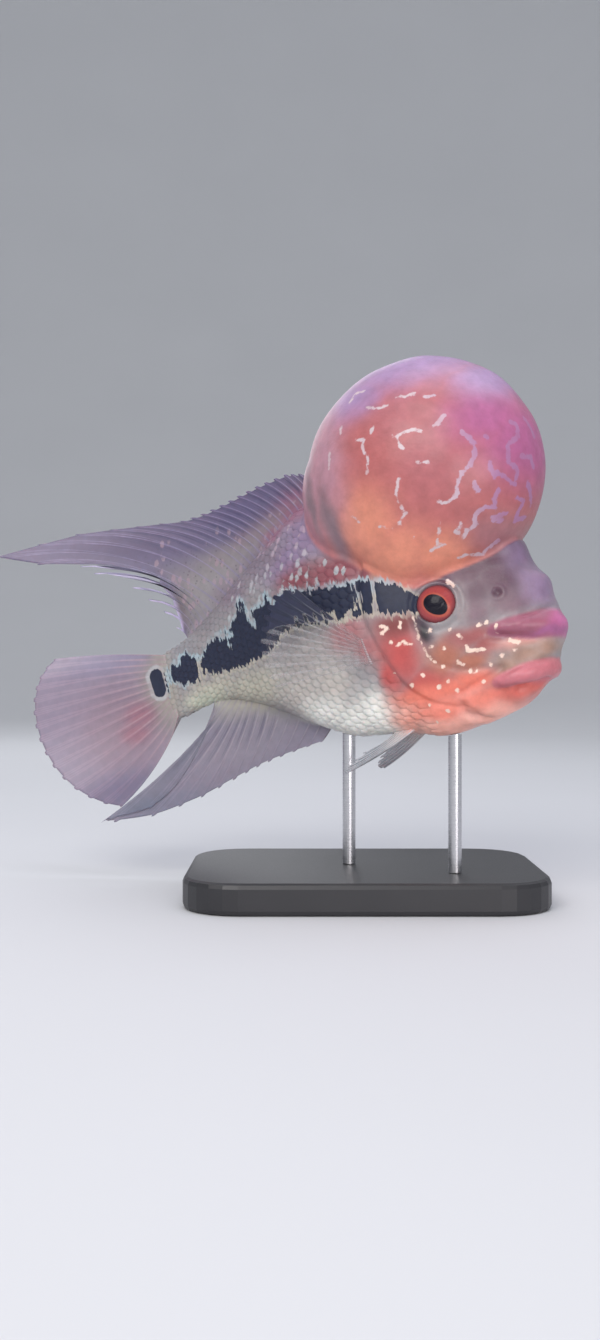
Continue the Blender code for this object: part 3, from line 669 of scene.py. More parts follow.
# Black band by its upper and lower edge, then other black marks as strokes of distance back, height and half
# width, and the pale bites taken out of them
BAND_TOP = (
    (48.5, 25.5), (52.5, 29.5), (56, 31.8), (61, 34), (68, 35.8), (74, 37), (82, 38.6), (89, 40), (96, 41.6),
    (104, 41.4), (112, 42.6), (118, 42), (124, 41.4), (129, 44), (133, 41), (137, 38), (142, 37.6),
    (148, 36.6), (153, 34), (158, 29),
)
BAND_LOW = (
    (48.5, 18), (54, 19.6), (59.5, 21), (67, 23.2), (78, 24.3), (85, 25.6), (92, 27), (99, 28), (105, 26.8),
    (110, 25), (119, 21.8), (131, 21.4), (141, 21.6), (148, 22), (153, 23.4), (158, 27.5),
)
BLACK_STROKES = (
    ((127.5, 40.0, 2.6), (129, 47.4, 0.9)),
    ((111, 41.0, 2.0), (111.5, 44.4, 0.8)),
    ((160.8, 26.6, 5.0), (166.5, 28.0, 6.2), (171, 28.5, 4.2)),
    ((182.6, 23.6, 3.3), (183, 29.6, 3.5)),
)
PALE_BITES = (
    ((125, 45.0, 2.2), (123, 40.0, 1.8), (120.5, 34.6, 1.0)),
    ((107, 43.5, 1.8), (107.5, 40.0, 1.2)),
    ((104, 38.6, 0.9), (104, 37.4, 0.8)),
    ((149, 39.5, 2.2), (143, 37.0, 1.8), (136.5, 35.4, 1.5)),
    ((139, 32.6, 0.6), (138, 31.0, 0.5)),
    ((70.2, 38.0, 0.9), (68.2, 32.0, 0.75), (69.2, 26.7, 0.9), (76, 23.8, 1.3)),
    ((61.8, 34.0, 0.5), (62, 27.6, 0.5), (63.5, 20.4, 0.6)),
    ((90, 29.4, 0.5), (90.2, 26.4, 0.8)),
    ((86.6, 29.2, 0.5), (86.4, 25.6, 0.8)),
    ((83.2, 28.6, 0.5), (83, 25.0, 0.8)),
    ((79.8, 28.0, 0.5), (79.4, 24.6, 0.8)),
    ((88, 41.4, 1.0), (88, 38.8, 0.6)),
    ((93, 42.4, 1.0), (92.6, 40.0, 0.6)),
    ((172, 36.0, 1.8), (170.5, 32.6, 1.2)),
    ((158.6, 22.0, 1.2), (158.4, 33.0, 1.2)),
)


def ball_place(direction):
    """Place on the hump's ball by degrees round from its right side to the front, and degrees up."""
    around, up = np.radians(direction)
    outward_there = np.array([-np.sin(around) * np.cos(up), np.cos(around) * np.cos(up), np.sin(up)])
    return HUMP_CENTRE + outward_there * HUMP_RADII


def stroke_depth(points, starts, ends, start_widths, end_widths):
    """Depth inside a bundle of tapered strokes, positive inside, in mm: the deepest stroke counts."""
    depth = np.full(len(points), -50.0)
    for a, b, wide_a, wide_b in zip(starts, ends, start_widths, end_widths):
        run = b - a
        t = np.clip((points - a) @ run / max(run @ run, 1e-9), 0, 1)
        away = np.linalg.norm(points - a - t[:, None] * run, axis=1)
        depth = np.maximum(depth, wide_a + (wide_b - wide_a) * t - away)
    return depth


def bundle(strokes):
    """Starts and ends of the straight pieces of a list of strokes."""
    pieces = [(stroke[i], stroke[i + 1]) for stroke in strokes for i in range(len(stroke) - 1)]
    return [np.array(first, float) for first, _ in pieces], [np.array(last, float) for _, last in pieces]


def pale_depth(points):
    """Depth inside the pale marks of the hump and the pearls and dashes of the cheek and gill cover."""
    mirrored = on_right(points)
    starts, ends = bundle([[ball_place(spot) for spot in stroke] for stroke in HUMP_STROKES])
    widths = [[float(np.interp(spot[0], (10, 32), HUMP_STROKE_WIDTHS[::-1])) for spot in side]
              for side in (starts, ends)]
    on_hump = stroke_depth(mirrored, starts, ends, *widths)
    flat = mirrored[:, (0, 2)]
    starts, ends = bundle(CHEEK_STROKES + tuple((spot, spot) for spot in CHEEK_PEARLS))
    width = [CHEEK_STROKE_WIDTH] * (len(starts) - len(CHEEK_PEARLS)) + [PEARL_WIDTH] * len(CHEEK_PEARLS)
    on_cheek = stroke_depth(flat, starts, ends, width, width)
    cheek_line = CHEEK_STROKE_WIDTH * 0.6 - np.abs(line_distance(flat[:, 0], flat[:, 1], CHEEK_LINE))
    cheek_line = np.where(flat[:, 0] > 46, cheek_line, -50)
    body = body_level(points) < 1.08
    sideways = mirrored[:, 1] > 4
    return np.maximum(on_hump, np.where(body & sideways, np.maximum(on_cheek, cheek_line), -50))


def black_depth(points):
    """Depth inside the black marks along the side, with the pale bites left out of them."""
    flat = points[:, (0, 2)]
    marks = []
    for strokes in (BLACK_STROKES, PALE_BITES):
        starts, ends = bundle(strokes)
        marks.append(stroke_depth(flat, [a[:2] for a in starts], [b[:2] for b in ends],
                                  [a[2] for a in starts], [b[2] for b in ends]))
    x = np.clip(flat[:, 0], BAND_TOP[0][0], BAND_TOP[-1][0])
    band = np.minimum(follow(BAND_TOP, x) - flat[:, 1], flat[:, 1] - follow(BAND_LOW, x))
    band -= np.abs(flat[:, 0] - x)
    return np.minimum(np.maximum(marks[0], band), -marks[1])


# Ground colours of the body, each sprayed from round patches: middle back and up, then reach back and up
BODY_GROUND = (0.29, 0.27, 0.28)
BODY_SPRAYS = (
    ((0.25, 0.18, 0.29), ((84, 64, 22, 14), (98, 56, 16, 10))),
    ((0.22, 0.175, 0.22), ((116, 62, 18, 9), (134, 54, 14, 8))),
    ((0.30, 0.13, 0.20), ((96, 76, 13, 6), (108, 71, 9, 5))),
    ((0.24, 0.22, 0.24), ((152, 46, 12, 7),)),
    ((0.27, 0.26, 0.28), ((168, 38, 9, 6),)),
    ((0.36, 0.33, 0.29), ((180, 24, 7, 16),)),
    ((0.38, 0.35, 0.34), ((94, 14, 22, 10), (112, 11, 14, 8))),
    ((0.48, 0.45, 0.37), ((134, 10, 22, 9), (154, 15, 16, 6))),
    ((0.50, 0.51, 0.41), ((160, 13, 10, 4),)),
    ((0.54, 0.49, 0.45), ((104, 2, 16, 8), (88, 2, 10, 8))),
    ((1.0, 0.96, 0.88), ((88, -16, 20, 9), (75, -15, 9, 10), (100, -10, 16, 8))),
    ((0.24, 0.07, 0.09), ((76, 43, 20, 8), (62, 38, 12, 6), (92, 46, 12, 6), (64, 46, 8, 9))),
    ((0.44, 0.26, 0.22), ((56, 35, 7, 3),)),
    ((0.36, 0.155, 0.165), ((75, 18, 9, 7), (70, 11, 5, 6))),
    ((0.48, 0.085, 0.08), ((58, 5, 9, 14), (52, -9, 12, 8), (64, -2, 4, 8))),
    ((0.19, 0.045, 0.045), ((56, 16, 7, 5),)),
    ((0.76, 0.20, 0.14), ((56, -13, 12, 5), (44, -13, 12, 4), (35, -12, 10, 4))),
    ((1.0, 0.49, 0.40), ((52, -26, 20, 6), (64, -20, 7, 6), (32, -26, 14, 6))),
    ((0.88, 0.27, 0.20), ((50, -19, 14, 4), (34, -19, 12, 4))),
    ((0.66, 0.14, 0.11), ((20, -18, 10, 6),)),
    ((0.41, 0.15, 0.10), ((42, -1, 8, 7), (34, -5, 8, 4))),
    ((0.34, 0.10, 0.10), ((31, 4, 9, 4), (27, 0, 6, 4))),
    ((0.105, 0.045, 0.075), ((18, 22, 12, 10), (30, 28, 16, 8), (26, 20, 8, 10), (16, 32, 12, 8))),
    ((0.19, 0.115, 0.145), ((14, 12, 9, 5), (28, 12, 6, 4))),
    ((0.25, 0.17, 0.27), ((4, 17, 7, 9),)),
    ((0.18, 0.12, 0.20), ((9, 30, 6, 8),)),
    ((0.28, 0.24, 0.25), ((32.5, 17, 2.6, 8),)),
    ((0.10, 0.07, 0.09), ((47.5, 14, 3.4, 4), (47, 9.5, 2.6, 4))),
    ((0.03, 0.025, 0.03), ((47.6, 9.8, 1.6, 3.2),)),
    ((0.66, 0.32, 0.28), ((14, -2, 11, 2.6),)),
    ((0.36, 0.22, 0.17), ((15, -7, 9, 4), (22, -9, 4, 4), (8, -6, 5, 3))),
    ((0.56, 0.14, 0.16), ((12, -14.5, 10, 3.2),)),
)
HUMP_SPRAYS = (
    (SALMON, ((57, 53, 14, 15), (50, 40, 18, 11), (34, 36, 14, 8))),
    ((0.40, 0.125, 0.14), ((24, 70, 14, 16), (32, 86, 12, 8))),
    (MAGENTA, ((-5, 70, 16, 20), (4, 80, 15, 12))),
    # Painted light: lilac over the hump's top, where light falls from above
    (LILAC_TOP_LIGHT, ((28, 113, 42, 15), (2, 98, 14, 11), (54, 104, 20, 11))),
    (PALE_PINK, ((66, 86, 10, 26), (78, 84, 14, 30))),
    ((0.36, 0.15, 0.165), ((12, 38, 12, 8),)),
    ((0.25, 0.16, 0.19), ((70, 58, 4.0, 18), (76, 72, 2.6, 16))),
)
UPPER_LIP_COLOUR = (0.31, 0.10, 0.15)
UPPER_LIP_FRONT = (0.52, 0.15, 0.33)
LOWER_LIP_COLOUR = (0.54, 0.17, 0.20)
LIP_EDGE_COLOUR = (0.35, 0.11, 0.25)

# Colours of the fins, sprayed in the same way over their own ground
DORSAL_GROUND = (0.15, 0.135, 0.225)
DORSAL_SPRAYS = (
    ((0.12, 0.11, 0.22), ((120, 88, 26, 9),)),
    ((0.125, 0.11, 0.19), ((190, 90, 30, 8),)),
    ((0.30, 0.13, 0.22), ((95, 80, 13, 7),)),
    ((0.23, 0.16, 0.21), ((112, 75, 14, 7), (124, 72, 12, 7))),
    ((0.23, 0.20, 0.215), ((140, 66, 16, 9), (150, 62, 10, 9))),
    ((0.16, 0.14, 0.16), ((162, 56, 9, 10),)),
)
DORSAL_FREE_RAYS = (0.50, 0.45, 0.66)
CAUDAL_GROUND = (0.27, 0.24, 0.32)
CAUDAL_SPRAYS = (
    ((0.27, 0.20, 0.255), ((202, 12, 22, 22),)),
    ((0.34, 0.30, 0.27), ((181, 24, 10, 18),)),
    ((0.31, 0.15, 0.20), ((194, 15, 8, 6), (198, 8, 7, 5))),
    ((0.23, 0.21, 0.31), ((202, 42, 24, 6),)),
    ((0.16, 0.15, 0.24), ((206, -16, 24, 9),)),
)
ANAL_GROUND = (0.23, 0.215, 0.285)
ANAL_SPRAYS = (
    ((0.34, 0.32, 0.33), ((126, 2, 24, 8), (148, 6, 14, 6))),
    ((0.27, 0.25, 0.31), ((150, -8, 26, 9),)),
    ((0.17, 0.185, 0.26), ((190, -26, 26, 6),)),
)
CLEAR_GROUND = (0.42, 0.39, 0.41)
PELVIC_GROUND = (0.30, 0.33, 0.37)
PELVIC_SPRAYS = (((0.62, 0.58, 0.56), ((68, -24, 10, 6),)),)


def sprayed(x, z, ground, sprays):
    """Ground colour with soft round sprays over it: each patch falls as e to minus its reach's cube."""
    colour = np.tile(np.asarray(ground, float), (len(x), 1))
    for tint, patches in sprays:
        cover = np.zeros(len(x))
        for mid_x, mid_z, reach_x, reach_z in patches:
            patch = np.exp(-np.hypot((x - mid_x) / reach_x, (z - mid_z) / reach_z) ** 3)
            cover = np.maximum(cover, patch)
        colour += cover[:, None] * (np.asarray(tint) - colour)
    return colour


def ground_colour(points):
    """Colour of the skin before its marks: body and hump sprays, with painted light over the hump's top, then
    lips, all alike on both sides.
    """
    wander = 1.2 * rolling(points, 3.1)
    mirrored = on_right(points)
    x, z = points[:, 0] + wander, points[:, 2] + wander
    body = sprayed(x, z, BODY_GROUND, BODY_SPRAYS)
    hump = sprayed(x, z, ROSE, HUMP_SPRAYS)
    hump_share = 1 - steps_between(off_hump(points), 0.7, 1.8)
    colour = body + hump_share[:, None] * (hump - body)
    turn = np.linspace(0, np.pi / 2, 50)
    for sizes, middle, front, reach in ((UPPER_LIP, UPPER_LIP_COLOUR, UPPER_LIP_FRONT, 0.8),
                                        (LOWER_LIP, LOWER_LIP_COLOUR, LOWER_LIP_COLOUR, 0.6)):
        path, radius = lip_path(sizes, turn), lip_radius(sizes, turn)
        depth = stroke_depth(mirrored, path[:-1], path[1:], radius[:-1], radius[1:])
        share = steps_between(depth, -reach - 0.8, -reach + 0.6)
        lip = np.asarray(middle) + bell(x + 0.5, 3.4)[:, None] * np.subtract(front, middle)
        colour += share[:, None] * (lip - colour)
    edge = bell(z + 1.2, 1.4) * bell(x - 4, 7)
    colour += edge[:, None] * (np.asarray(LIP_EDGE_COLOUR) - colour)
    return colour


def build_skin():
    """Skin over the flesh: the joined surface, smoothed, with its relief, colours and marks."""
    points, faces = joined_skin()
    points = smoothed(points, faces, 10, 0.5)
    lie = smoothed(points + outward(points, faces) * skin_relief(points)[:, None], faces, 1, 0.5)
    quads = [tuple(dict.fromkeys(face)) for face in faces.tolist()]
    return fish_piece("skin", lie, quads, "body_skin",
                      ("head", "nuchal_hump", "torso", "flank", "tail_peduncle"),
                      ground=ground_colour(lie), pale=pale_depth(lie), black=black_depth(lie))


# Scales
SIDE_X = np.linspace(50, 179, 260)
SIDE_LENGTH = np.linspace(-60, 80, 281)


def side_table():
    """Angle round the body by station and by length up the section from its widest line, and its ends."""
    turn = np.linspace(0, np.pi, 361)
    x, angle = np.meshgrid(SIDE_X, turn, indexing="ij")
    places = body_section(x, angle)
    run = np.linalg.norm(np.diff(places, axis=1), axis=2)
    total = np.concatenate([np.zeros((len(SIDE_X), 1)), np.cumsum(run, axis=1)], axis=1)
    above = total[:, 180:181] - total
    angles = np.stack([np.interp(SIDE_LENGTH, row[::-1], turn[::-1]) for row in above])
    return angles, above[:, 0], above[:, -1]


SIDE_ANGLES, SIDE_TOP, SIDE_LOW = side_table()


def side_place(x, length):
    """Place on the right side by station and length up from the widest line, between the table's rows."""
    i = np.clip((x - SIDE_X[0]) / (SIDE_X[1] - SIDE_X[0]), 0, len(SIDE_X) - 1.001)
    j = np.clip((length - SIDE_LENGTH[0]) / (SIDE_LENGTH[1] - SIDE_LENGTH[0]), 0, len(SIDE_LENGTH) - 1.001)
    row, column = i.astype(int), j.astype(int)
    part_i, part_j = i - row, j - column
    before, behind = (SIDE_ANGLES[line, column] * (1 - part_j) + SIDE_ANGLES[line, column + 1] * part_j
                      for line in (row, row + 1))
    return body_section(x, before * (1 - part_i) + behind * part_i)


def tailward(x):
    """Share of the way back from the middle of the flank to the tail's root."""
    return np.clip((x - FLANK_MIDDLE) / (TAIL_ROOT - FLANK_MIDDLE), 0, 1)


def scale_roots():
    """Stations and lengths of the scales' middles in offset rows, smaller towards the tail, and their size."""
    stations = [SCALES_START]
    while stations[-1] < TAIL_ROOT - 2:
        stations.append(stations[-1] + SCALE_STEP - SCALE_STEP_LOSS * tailward(stations[-1]))
    rows = np.arange(-18, 26)
    x, row = np.meshgrid(np.array(stations), rows, indexing="ij")
    offset = (np.arange(len(stations)) % 2 * 0.5)[:, None]
    shrink = 1 - SCALE_SHRINK * tailward(x)
    return x.ravel(), ((row + offset) * SCALE_SPACING * shrink).ravel(), shrink.ravel()


def build_scales(side, word):
    """Overlapping scales of one side in one mesh: each a rounded plate whose front is sunk in the skin.

    A plate's height is its rise towards the rear less a fall towards its edges, and its last ring drops
    into the skin, so that the plate has a rim.
    """
    x, length, size = scale_roots()
    lift = np.interp(x, SIDE_X, SIDE_TOP) - length
    fall = length - np.interp(x, SIDE_X, SIDE_LOW)
    roots = side_place(x, length)
    kept = (lift > 0.6) & (fall > 0.6) & (scaled_share(roots) > 0.5)
    x, length, size, roots = x[kept], length[kept], size[kept], roots[kept]
    along, across = np.meshgrid(np.linspace(0, 1, 6), np.linspace(-1, 1, 6), indexing="ij")
    rear = 1 - 0.42 * across**2
    local_x = SCALE_LENGTH * along * rear - 1.9
    local_length = SCALE_HALF * across * (1 - 0.12 * (1 - along))
    rise = np.minimum(along * 1.25, 1) - 0.26 * across**2
    rim = (along == 1) | (np.abs(across) == 1)
    random = np.random.default_rng(7)
    raised = np.interp(roots[:, 2], (-5, 35), (0.36, 0.58)) * random.uniform(0.85, 1.15, len(x))
    height = np.where(rim.ravel(), -0.42, -0.28 + raised[:, None] * rise.ravel())
    all_x = x[:, None] + size[:, None] * local_x.ravel()
    all_length = length[:, None] + size[:, None] * local_length.ravel()
    step = 0.4
    flat_x, flat_length = all_x.ravel(), all_length.ravel()
    place = side_place(flat_x, flat_length)
    back = side_place(flat_x + step, flat_length) - side_place(flat_x - step, flat_length)
    up = side_place(flat_x, flat_length + step) - side_place(flat_x, flat_length - step)
    lie = place + unit(np.cross(up, back)) * height.reshape(-1, 1)
    lie[:, 1] *= side
    rows, columns = along.shape
    faces = grid_faces(rows, columns)
    if side > 0:
        faces = faces[:, ::-1]
    count = rows * columns
    faces = (faces[None] + count * np.arange(len(x))[:, None, None]).reshape(-1, 4)
    chance = np.repeat(random.uniform(0, 1, len(x)), count)
    tile = np.stack([np.tile(along.ravel(), len(x)), np.tile(across.ravel(), len(x)), chance], axis=1)
    thing = fish_piece("scales_" + word, lie, faces, "body_skin", ground=ground_colour(lie),
                       black=black_depth(lie), tile=tile)
    unwrap(thing, np.repeat(roots, count, axis=0), tile, side)
    return thing


def unwrap(thing, roots, tile, side):
    """UV map OFBake: each scale is a patch 0.003 across at its root's place on the side of the body."""
    u = 0.02 + roots[:, 0] / 400 + (0.5 if side < 0 else 0.0) + (tile[:, 0] - 0.5) * 0.003
    v = (roots[:, 2] + 60) / 200 + tile[:, 1] * 0.0015
    corners = read(thing.data.loops, "vertex_index", kind=int)
    layer = thing.data.uv_layers.new(name="OFBake")
    layer.data.foreach_set("uv", np.stack([u, v], axis=1)[corners].ravel())


# Fins
def fin_numbers(count, fine, crowd):
    """Ray numbers of a fin's lines, so many to each ray, crowded together near the rays by a sine."""
    even = np.arange((count - 1) * fine + 1) / fine
    return even - crowd * np.sin(2 * np.pi * even) / (2 * np.pi)


def fin_rays(number, roots, tips, bow, rows, notch, sway, branch):
    """Lines of a fin out to its free edge, their ray numbers, how far out they are and the rays' height.

    Every line is a bow from root to tip, a mean of root, middle and tip by squares. Between rays the free
    edge is cut back by the notch, and a narrow strip of web stays on each ray. A sine sways the fin
    sideways. Rays are ridges, bells across, which fork in four where branch is 1.
    """
    order = number / number[-1]
    off = np.abs(number - np.round(number))
    tip_gap = np.linalg.norm(np.gradient(tips, axis=0), axis=1) / np.gradient(number)
    web = steps_between(off * tip_gap, *WEB_STRIP)
    reach = np.linspace(0, 1, rows) * (1 - notch * web)[:, None]
    middle = (roots + tips) / 2 + bow
    lines = ((1 - reach)[..., None] ** 2 * roots[:, None] + reach[..., None] ** 2 * tips[:, None]
             + 2 * (reach * (1 - reach))[..., None] * middle[:, None])
    lines[..., 1] += sway * np.sin(3 * np.pi * order)[:, None] * reach**1.5
    spacing = np.linalg.norm(np.gradient(lines, axis=0), axis=2) / np.gradient(number)[:, None]
    branch = np.reshape(branch, (-1, 1))
    fork = branch * 0.15 * np.clip((reach - 0.35) / 0.45, 0, 1)
    twig = branch * 0.07 * np.clip((reach - 0.6) / 0.35, 0, 1)
    gap = np.minimum(np.abs(off[:, None] - fork - twig), np.abs(off[:, None] - fork + twig))
    return lines, number, reach, bell(gap * spacing, RAY_WIDTH - RAY_TAPER * reach)


def build_fin(name, slot, replaced, shape, ray_thick, web_thick, ground, sprays=(), base_reach=0.2, free=None,
              fleshy=0.0):
    """Closed fin: every line goes out on one face and back on the other, half the thickness off the middle.

    Its ground colour is the body's at the root and the fin's own sprays from base_reach on. The free ends
    of rays, where they are given as a share of each place, take their own colour. A fleshy root is so much
    thicker and dies out like a bell. Rays and web get thinner outwards.
    """
    lines, number, reach, ridge = shape
    normal = unit(np.cross(np.gradient(lines, axis=0), np.gradient(lines, axis=1)))
    ray = np.reshape(ray_thick, (-1, 1)) * (1 - 0.62 * reach)
    web = web_thick * (1 - 0.5 * reach) + fleshy * bell(reach, FLESHY_REACH)
    half = normal * (web + np.maximum(ray - web, 0) * ridge)[..., None] / 2
    loop = np.concatenate([lines + half, (lines - half)[:, ::-1]], axis=1)
    fan = np.stack([np.broadcast_to(number[:, None], reach.shape), reach, ridge], axis=-1)
    fan = np.concatenate([fan, fan[:, ::-1]], axis=1).reshape(-1, 3)
    lie = loop.reshape(-1, 3)
    own = sprayed(lie[:, 0], lie[:, 2], ground, sprays)
    if free is not None:
        free = np.concatenate([free, free[:, ::-1]], axis=1).reshape(-1, 1)
        own += free * (np.asarray(DORSAL_FREE_RAYS) - own)
    at_root = 1 - steps_between(fan[:, 1:2], 0.2 * base_reach, base_reach)
    own += at_root * (ground_colour(lie) - own)
    return fish_piece(name, lie, closed_grid(*loop.shape[:2]), slot, replaced, fan=fan,
                      black=black_depth(lie), ground=own)


def in_middle(x, z):
    """Places in the plane of the backbone."""
    return np.stack([x, np.zeros(len(x)), z], axis=1)


def bowed(roots, tips, share):
    """How far the middle of each ray is pushed out at a right angle to it, by a share of its length."""
    along = tips - roots
    return np.stack([-along[:, 2], np.zeros(len(along)), along[:, 0]], axis=1) * np.reshape(share, (-1, 1))


# Dorsal fin by ray number: spines 0 to 15, soft rays 16 to 27, the last six free for half their length. Roots
# back from the snout, tips with their height too, bows and notches as shares of the ray, and its thickness
DORSAL_ROOTS = ((0, 80), (15, 124), (16, 127), (21, 149), (27, 165))
DORSAL_TIPS = ((0, 88, 90.5), (3, 97.8, 93.5), (6, 113.8, 94), (9, 130, 93.5), (12, 146, 93), (14, 157, 93.5),
               (15.5, 172, 96.5), (17, 190, 99.5), (18, 206, 101.5), (19, 224, 101.2), (20, 246, 100.2),
               (21, 225.5, 92), (22, 206.5, 86.3), (23, 201, 81.5), (24, 185, 70.8), (25, 178.8, 63.5),
               (26, 173, 56.5), (27, 169, 48))
DORSAL_BOWS = ((0, 0.10), (14, 0.14), (18, 0.20), (20, 0.22), (22, 0.25), (24, 0.27), (27, 0.25))
DORSAL_NOTCHES = ((0, 0.07), (13, 0.05), (16, 0.03), (21, 0.02), (21.6, 0.10), (22, 0.55), (24, 0.48),
                  (27, 0.38))
DORSAL_THICKNESS = ((0, 1.15), (15, 1.05), (17, 0.7), (27, 0.6))
# Anal fin: roots by ray number, tips by share of the fin's length with their height too, then its notches and
# thickness by ray number
ANAL_ROOTS = ((0, 104), (7, 136), (8, 139.5), (16, 158))
ANAL_TIPS = ((0, 111, -17), (0.15, 128, -18), (0.3, 144, -19.5), (0.45, 160, -22.5), (0.6, 181, -27),
             (0.7, 201, -29), (0.79, 221, -26.5), (0.87, 200, -26), (0.94, 183, -17), (1.0, 168, 0))
ANAL_NOTCHES = ((0, 0.06), (8, 0.03), (12, 0.02), (16, 0.05))
ANAL_THICKNESS = ((0, 1.2), (7, 1.1), (9, 0.7), (16, 0.6))


def by_number(number, rows, column=1):
    """Value of a column between the rows of a list by ray number."""
    return np.interp(number, [row[0] for row in rows], [row[column] for row in rows])


def dorsal_fin():
    """Long dorsal fin: 16 spines, then 12 soft rays drawn out to a pointed tip, the last with free ends."""
    number = fin_numbers(28, 22, 0.8)
    root_x = by_number(number, DORSAL_ROOTS)
    roots = in_middle(root_x, station(1, root_x) - 1.5)
    tips = in_middle(by_number(number, DORSAL_TIPS), by_number(number, DORSAL_TIPS, 2))
    notch = by_number(number, DORSAL_NOTCHES)
    shape = fin_rays(number, roots, tips, bowed(roots, tips, by_number(number, DORSAL_BOWS)), 48, notch, 1.5,
                     steps_between(number, 15.2, 16.4))
    reach = shape[2]
    free = steps_between(number, 21.6, 21.9)[:, None] * steps_between(reach, 0.4, 0.6)
    return build_fin("dorsal_fin", "fin_membrane", ("dorsal_fin_spiny", "dorsal_fin_soft"), shape,
                     by_number(number, DORSAL_THICKNESS), 0.5, DORSAL_GROUND, DORSAL_SPRAYS, 0.42, free, 2.2)


def anal_fin():
    """Anal fin: 8 spines, then 9 soft rays drawn out to a pointed tip."""
    number = fin_numbers(17, 24, 0.3)
    order = number / number[-1]
    root_x = by_number(number, ANAL_ROOTS)
    roots = in_middle(root_x, station(2, root_x) + 1.5)
    tips = in_middle(follow(ANAL_TIPS, order), follow(ANAL_TIPS, order, 2))
    shape = fin_rays(number, roots, tips, bowed(roots, tips, -0.06), 44, by_number(number, ANAL_NOTCHES), 1.2,
                     steps_between(number, 7.2, 8.4))
    return build_fin("anal_fin_skin", "fin_membrane", ("anal_fin",), shape, by_number(number, ANAL_THICKNESS),
                     0.5, ANAL_GROUND, ANAL_SPRAYS, 0.22, fleshy=2.0)


def caudal_fin():
    """Rounded tail fin: a fan of 15 forked rays, held a little low."""
    number = fin_numbers(15, 28, 0.0)
    order = number / number[-1]
    root_z = 37.6 - 27.2 * order
    angle = np.radians(13 - 26.5 * order - 31 * order**2)
    length = 50 + 58 * order - 62 * order**2
    root_x = np.full(len(order), TAIL_ROOT - 1.5)
    roots = in_middle(root_x, root_z)
    tips = in_middle(TAIL_ROOT + 0.3 + length * np.cos(angle), root_z + length * np.sin(angle))
    bow = bowed(roots, tips, np.interp(order, (0, 0.5, 1), (0.05, 0, -0.12)))
    shape = fin_rays(number, roots, tips, bow, 56, 0.012, 1.5, 1.0)
    return build_fin("caudal_fin_skin", "fin_membrane", ("caudal_fin",), shape, 0.6, 0.5, CAUDAL_GROUND,
                     CAUDAL_SPRAYS, 0.22, fleshy=4.0)


def pectoral_fin(side, word):
    """Clear pectoral fin: a fan of 11 rays, folded back and up along the flank."""
    number = fin_numbers(11, 14, 0.3)
    order = number / number[-1]
    root_x, root_z = 70.5 - 1.5 * order, 14 - 10 * order
    roots = np.stack([root_x, body_side(root_x, root_z) - 0.4, root_z], axis=1)
    angle = np.radians(58 - 56 * order)
    length = 34 + 26 * order - 24 * order**2
    tips = in_middle(root_x + length * np.cos(angle), root_z + length * np.sin(angle)) + (0, 30, 0)
    bow = np.tile((0, 3.1, 0), (len(order), 1))
    mirror = (1, side, 1)
    shape = fin_rays(number, roots * mirror, tips * mirror, bow * mirror, 40, 0.06, 0.0, 0.8)
    return build_fin("pectoral_skin_" + word, "fin_clear", ("pectoral_fin_" + word,), shape, 0.9, 0.25,
                     CLEAR_GROUND)


def pelvic_fin(side, word):
    """Pelvic fin: one spine and five rays, folded back under the belly."""
    number = fin_numbers(6, 18, 0.3)
    order = number / number[-1]
    root_x, root_y = 64 + 8 * order, 7.5 - 2.0 * order
    mid, low, half = station(3, root_x), station(2, root_x), station(4, root_x)
    floor = mid - (mid - low) * np.sqrt(np.clip(1 - (root_y / half) ** (2 / LOWER_FULLNESS), 0, 1))
    roots = np.stack([root_x, root_y, floor + 0.6], axis=1)
    tips = np.stack([93 + 10 * order - 16 * order**2, 14 - 6 * order, -33 + order + 5.5 * order**2], axis=1)
    bow = np.tile((0, 0, -2.2), (len(order), 1))
    mirror = (1, side, 1)
    shape = fin_rays(number, roots * mirror, tips * mirror, bow, 44, 0.12, 0.0, 0.8)
    return build_fin("pelvic_skin_" + word, "fin_clear", ("pelvic_fin_" + word,), shape, 1.0, 0.3,
                     PELVIC_GROUND, PELVIC_SPRAYS)


# Eyes
def build_eye(side, word):
    """Eye as a turned shape round its axis: a dark pupil, a raised ring, a dished iris and the ball's wall.

    Its profile is the ball's radius, dished by a bell over the iris and raised by one round the pupil.
    """
    place, direction = eye_frame()
    rows, columns = 60, 72
    down, iris = globe(rows, columns, 0.004)
    radius = EYE_RADIUS - 0.25 * bell(down - 0.62, 0.2) + 0.12 * bell(down - 0.40, 0.05)
    level = unit(np.cross(direction, (0.0, 0.0, 1.0)))
    turned = iris @ np.stack([level, np.cross(level, direction), direction])
    lie = (place - direction * EYE_SINK + turned * radius[..., None]).reshape(-1, 3) * (1, side, 1)
    faces = closed_grid(rows, columns)
    if side > 0:
        faces = [face[::-1] for face in faces]
    return fish_piece("eyeball_" + word, lie, faces, "eye", ("eye_" + word,), iris=iris.reshape(-1, 3))


# Shader helpers, which work in the node tree of the sockets they are given
def plug(socket, value):
    """Link a socket to another one, or give it a plain value."""
    if isinstance(value, bpy.types.NodeSocket):
        socket.id_data.links.new(value, socket)
    elif socket.type == "RGBA":
        socket.default_value = (*value, 1.0)
    else:
        socket.default_value = value


def feed(node, **values):
    """Plug values into a node's sockets, by their names with underscores for spaces."""
    for key, value in values.items():
        plug(node.inputs[key.replace("_", " ")], value)


def add(tree, kind, inputs=None, **settings):
    """Add a node with its settings, and plug values into its sockets."""
    made = tree.nodes.new(kind)
    for key, value in settings.items():
        setattr(made, key, value)
    for key, value in (inputs or {}).items():
        plug(made.inputs[key], value)
    return made


def calc(operation, *values):
    """Math node on up to three values, at least one of them a socket."""
    tree = next(value.id_data for value in values if isinstance(value, bpy.types.NodeSocket))
    return add(tree, "ShaderNodeMath", dict(enumerate(values)), operation=operation).outputs[0]


def plus(first, second):
    """Sum of two values."""
    return calc("ADD", first, second)


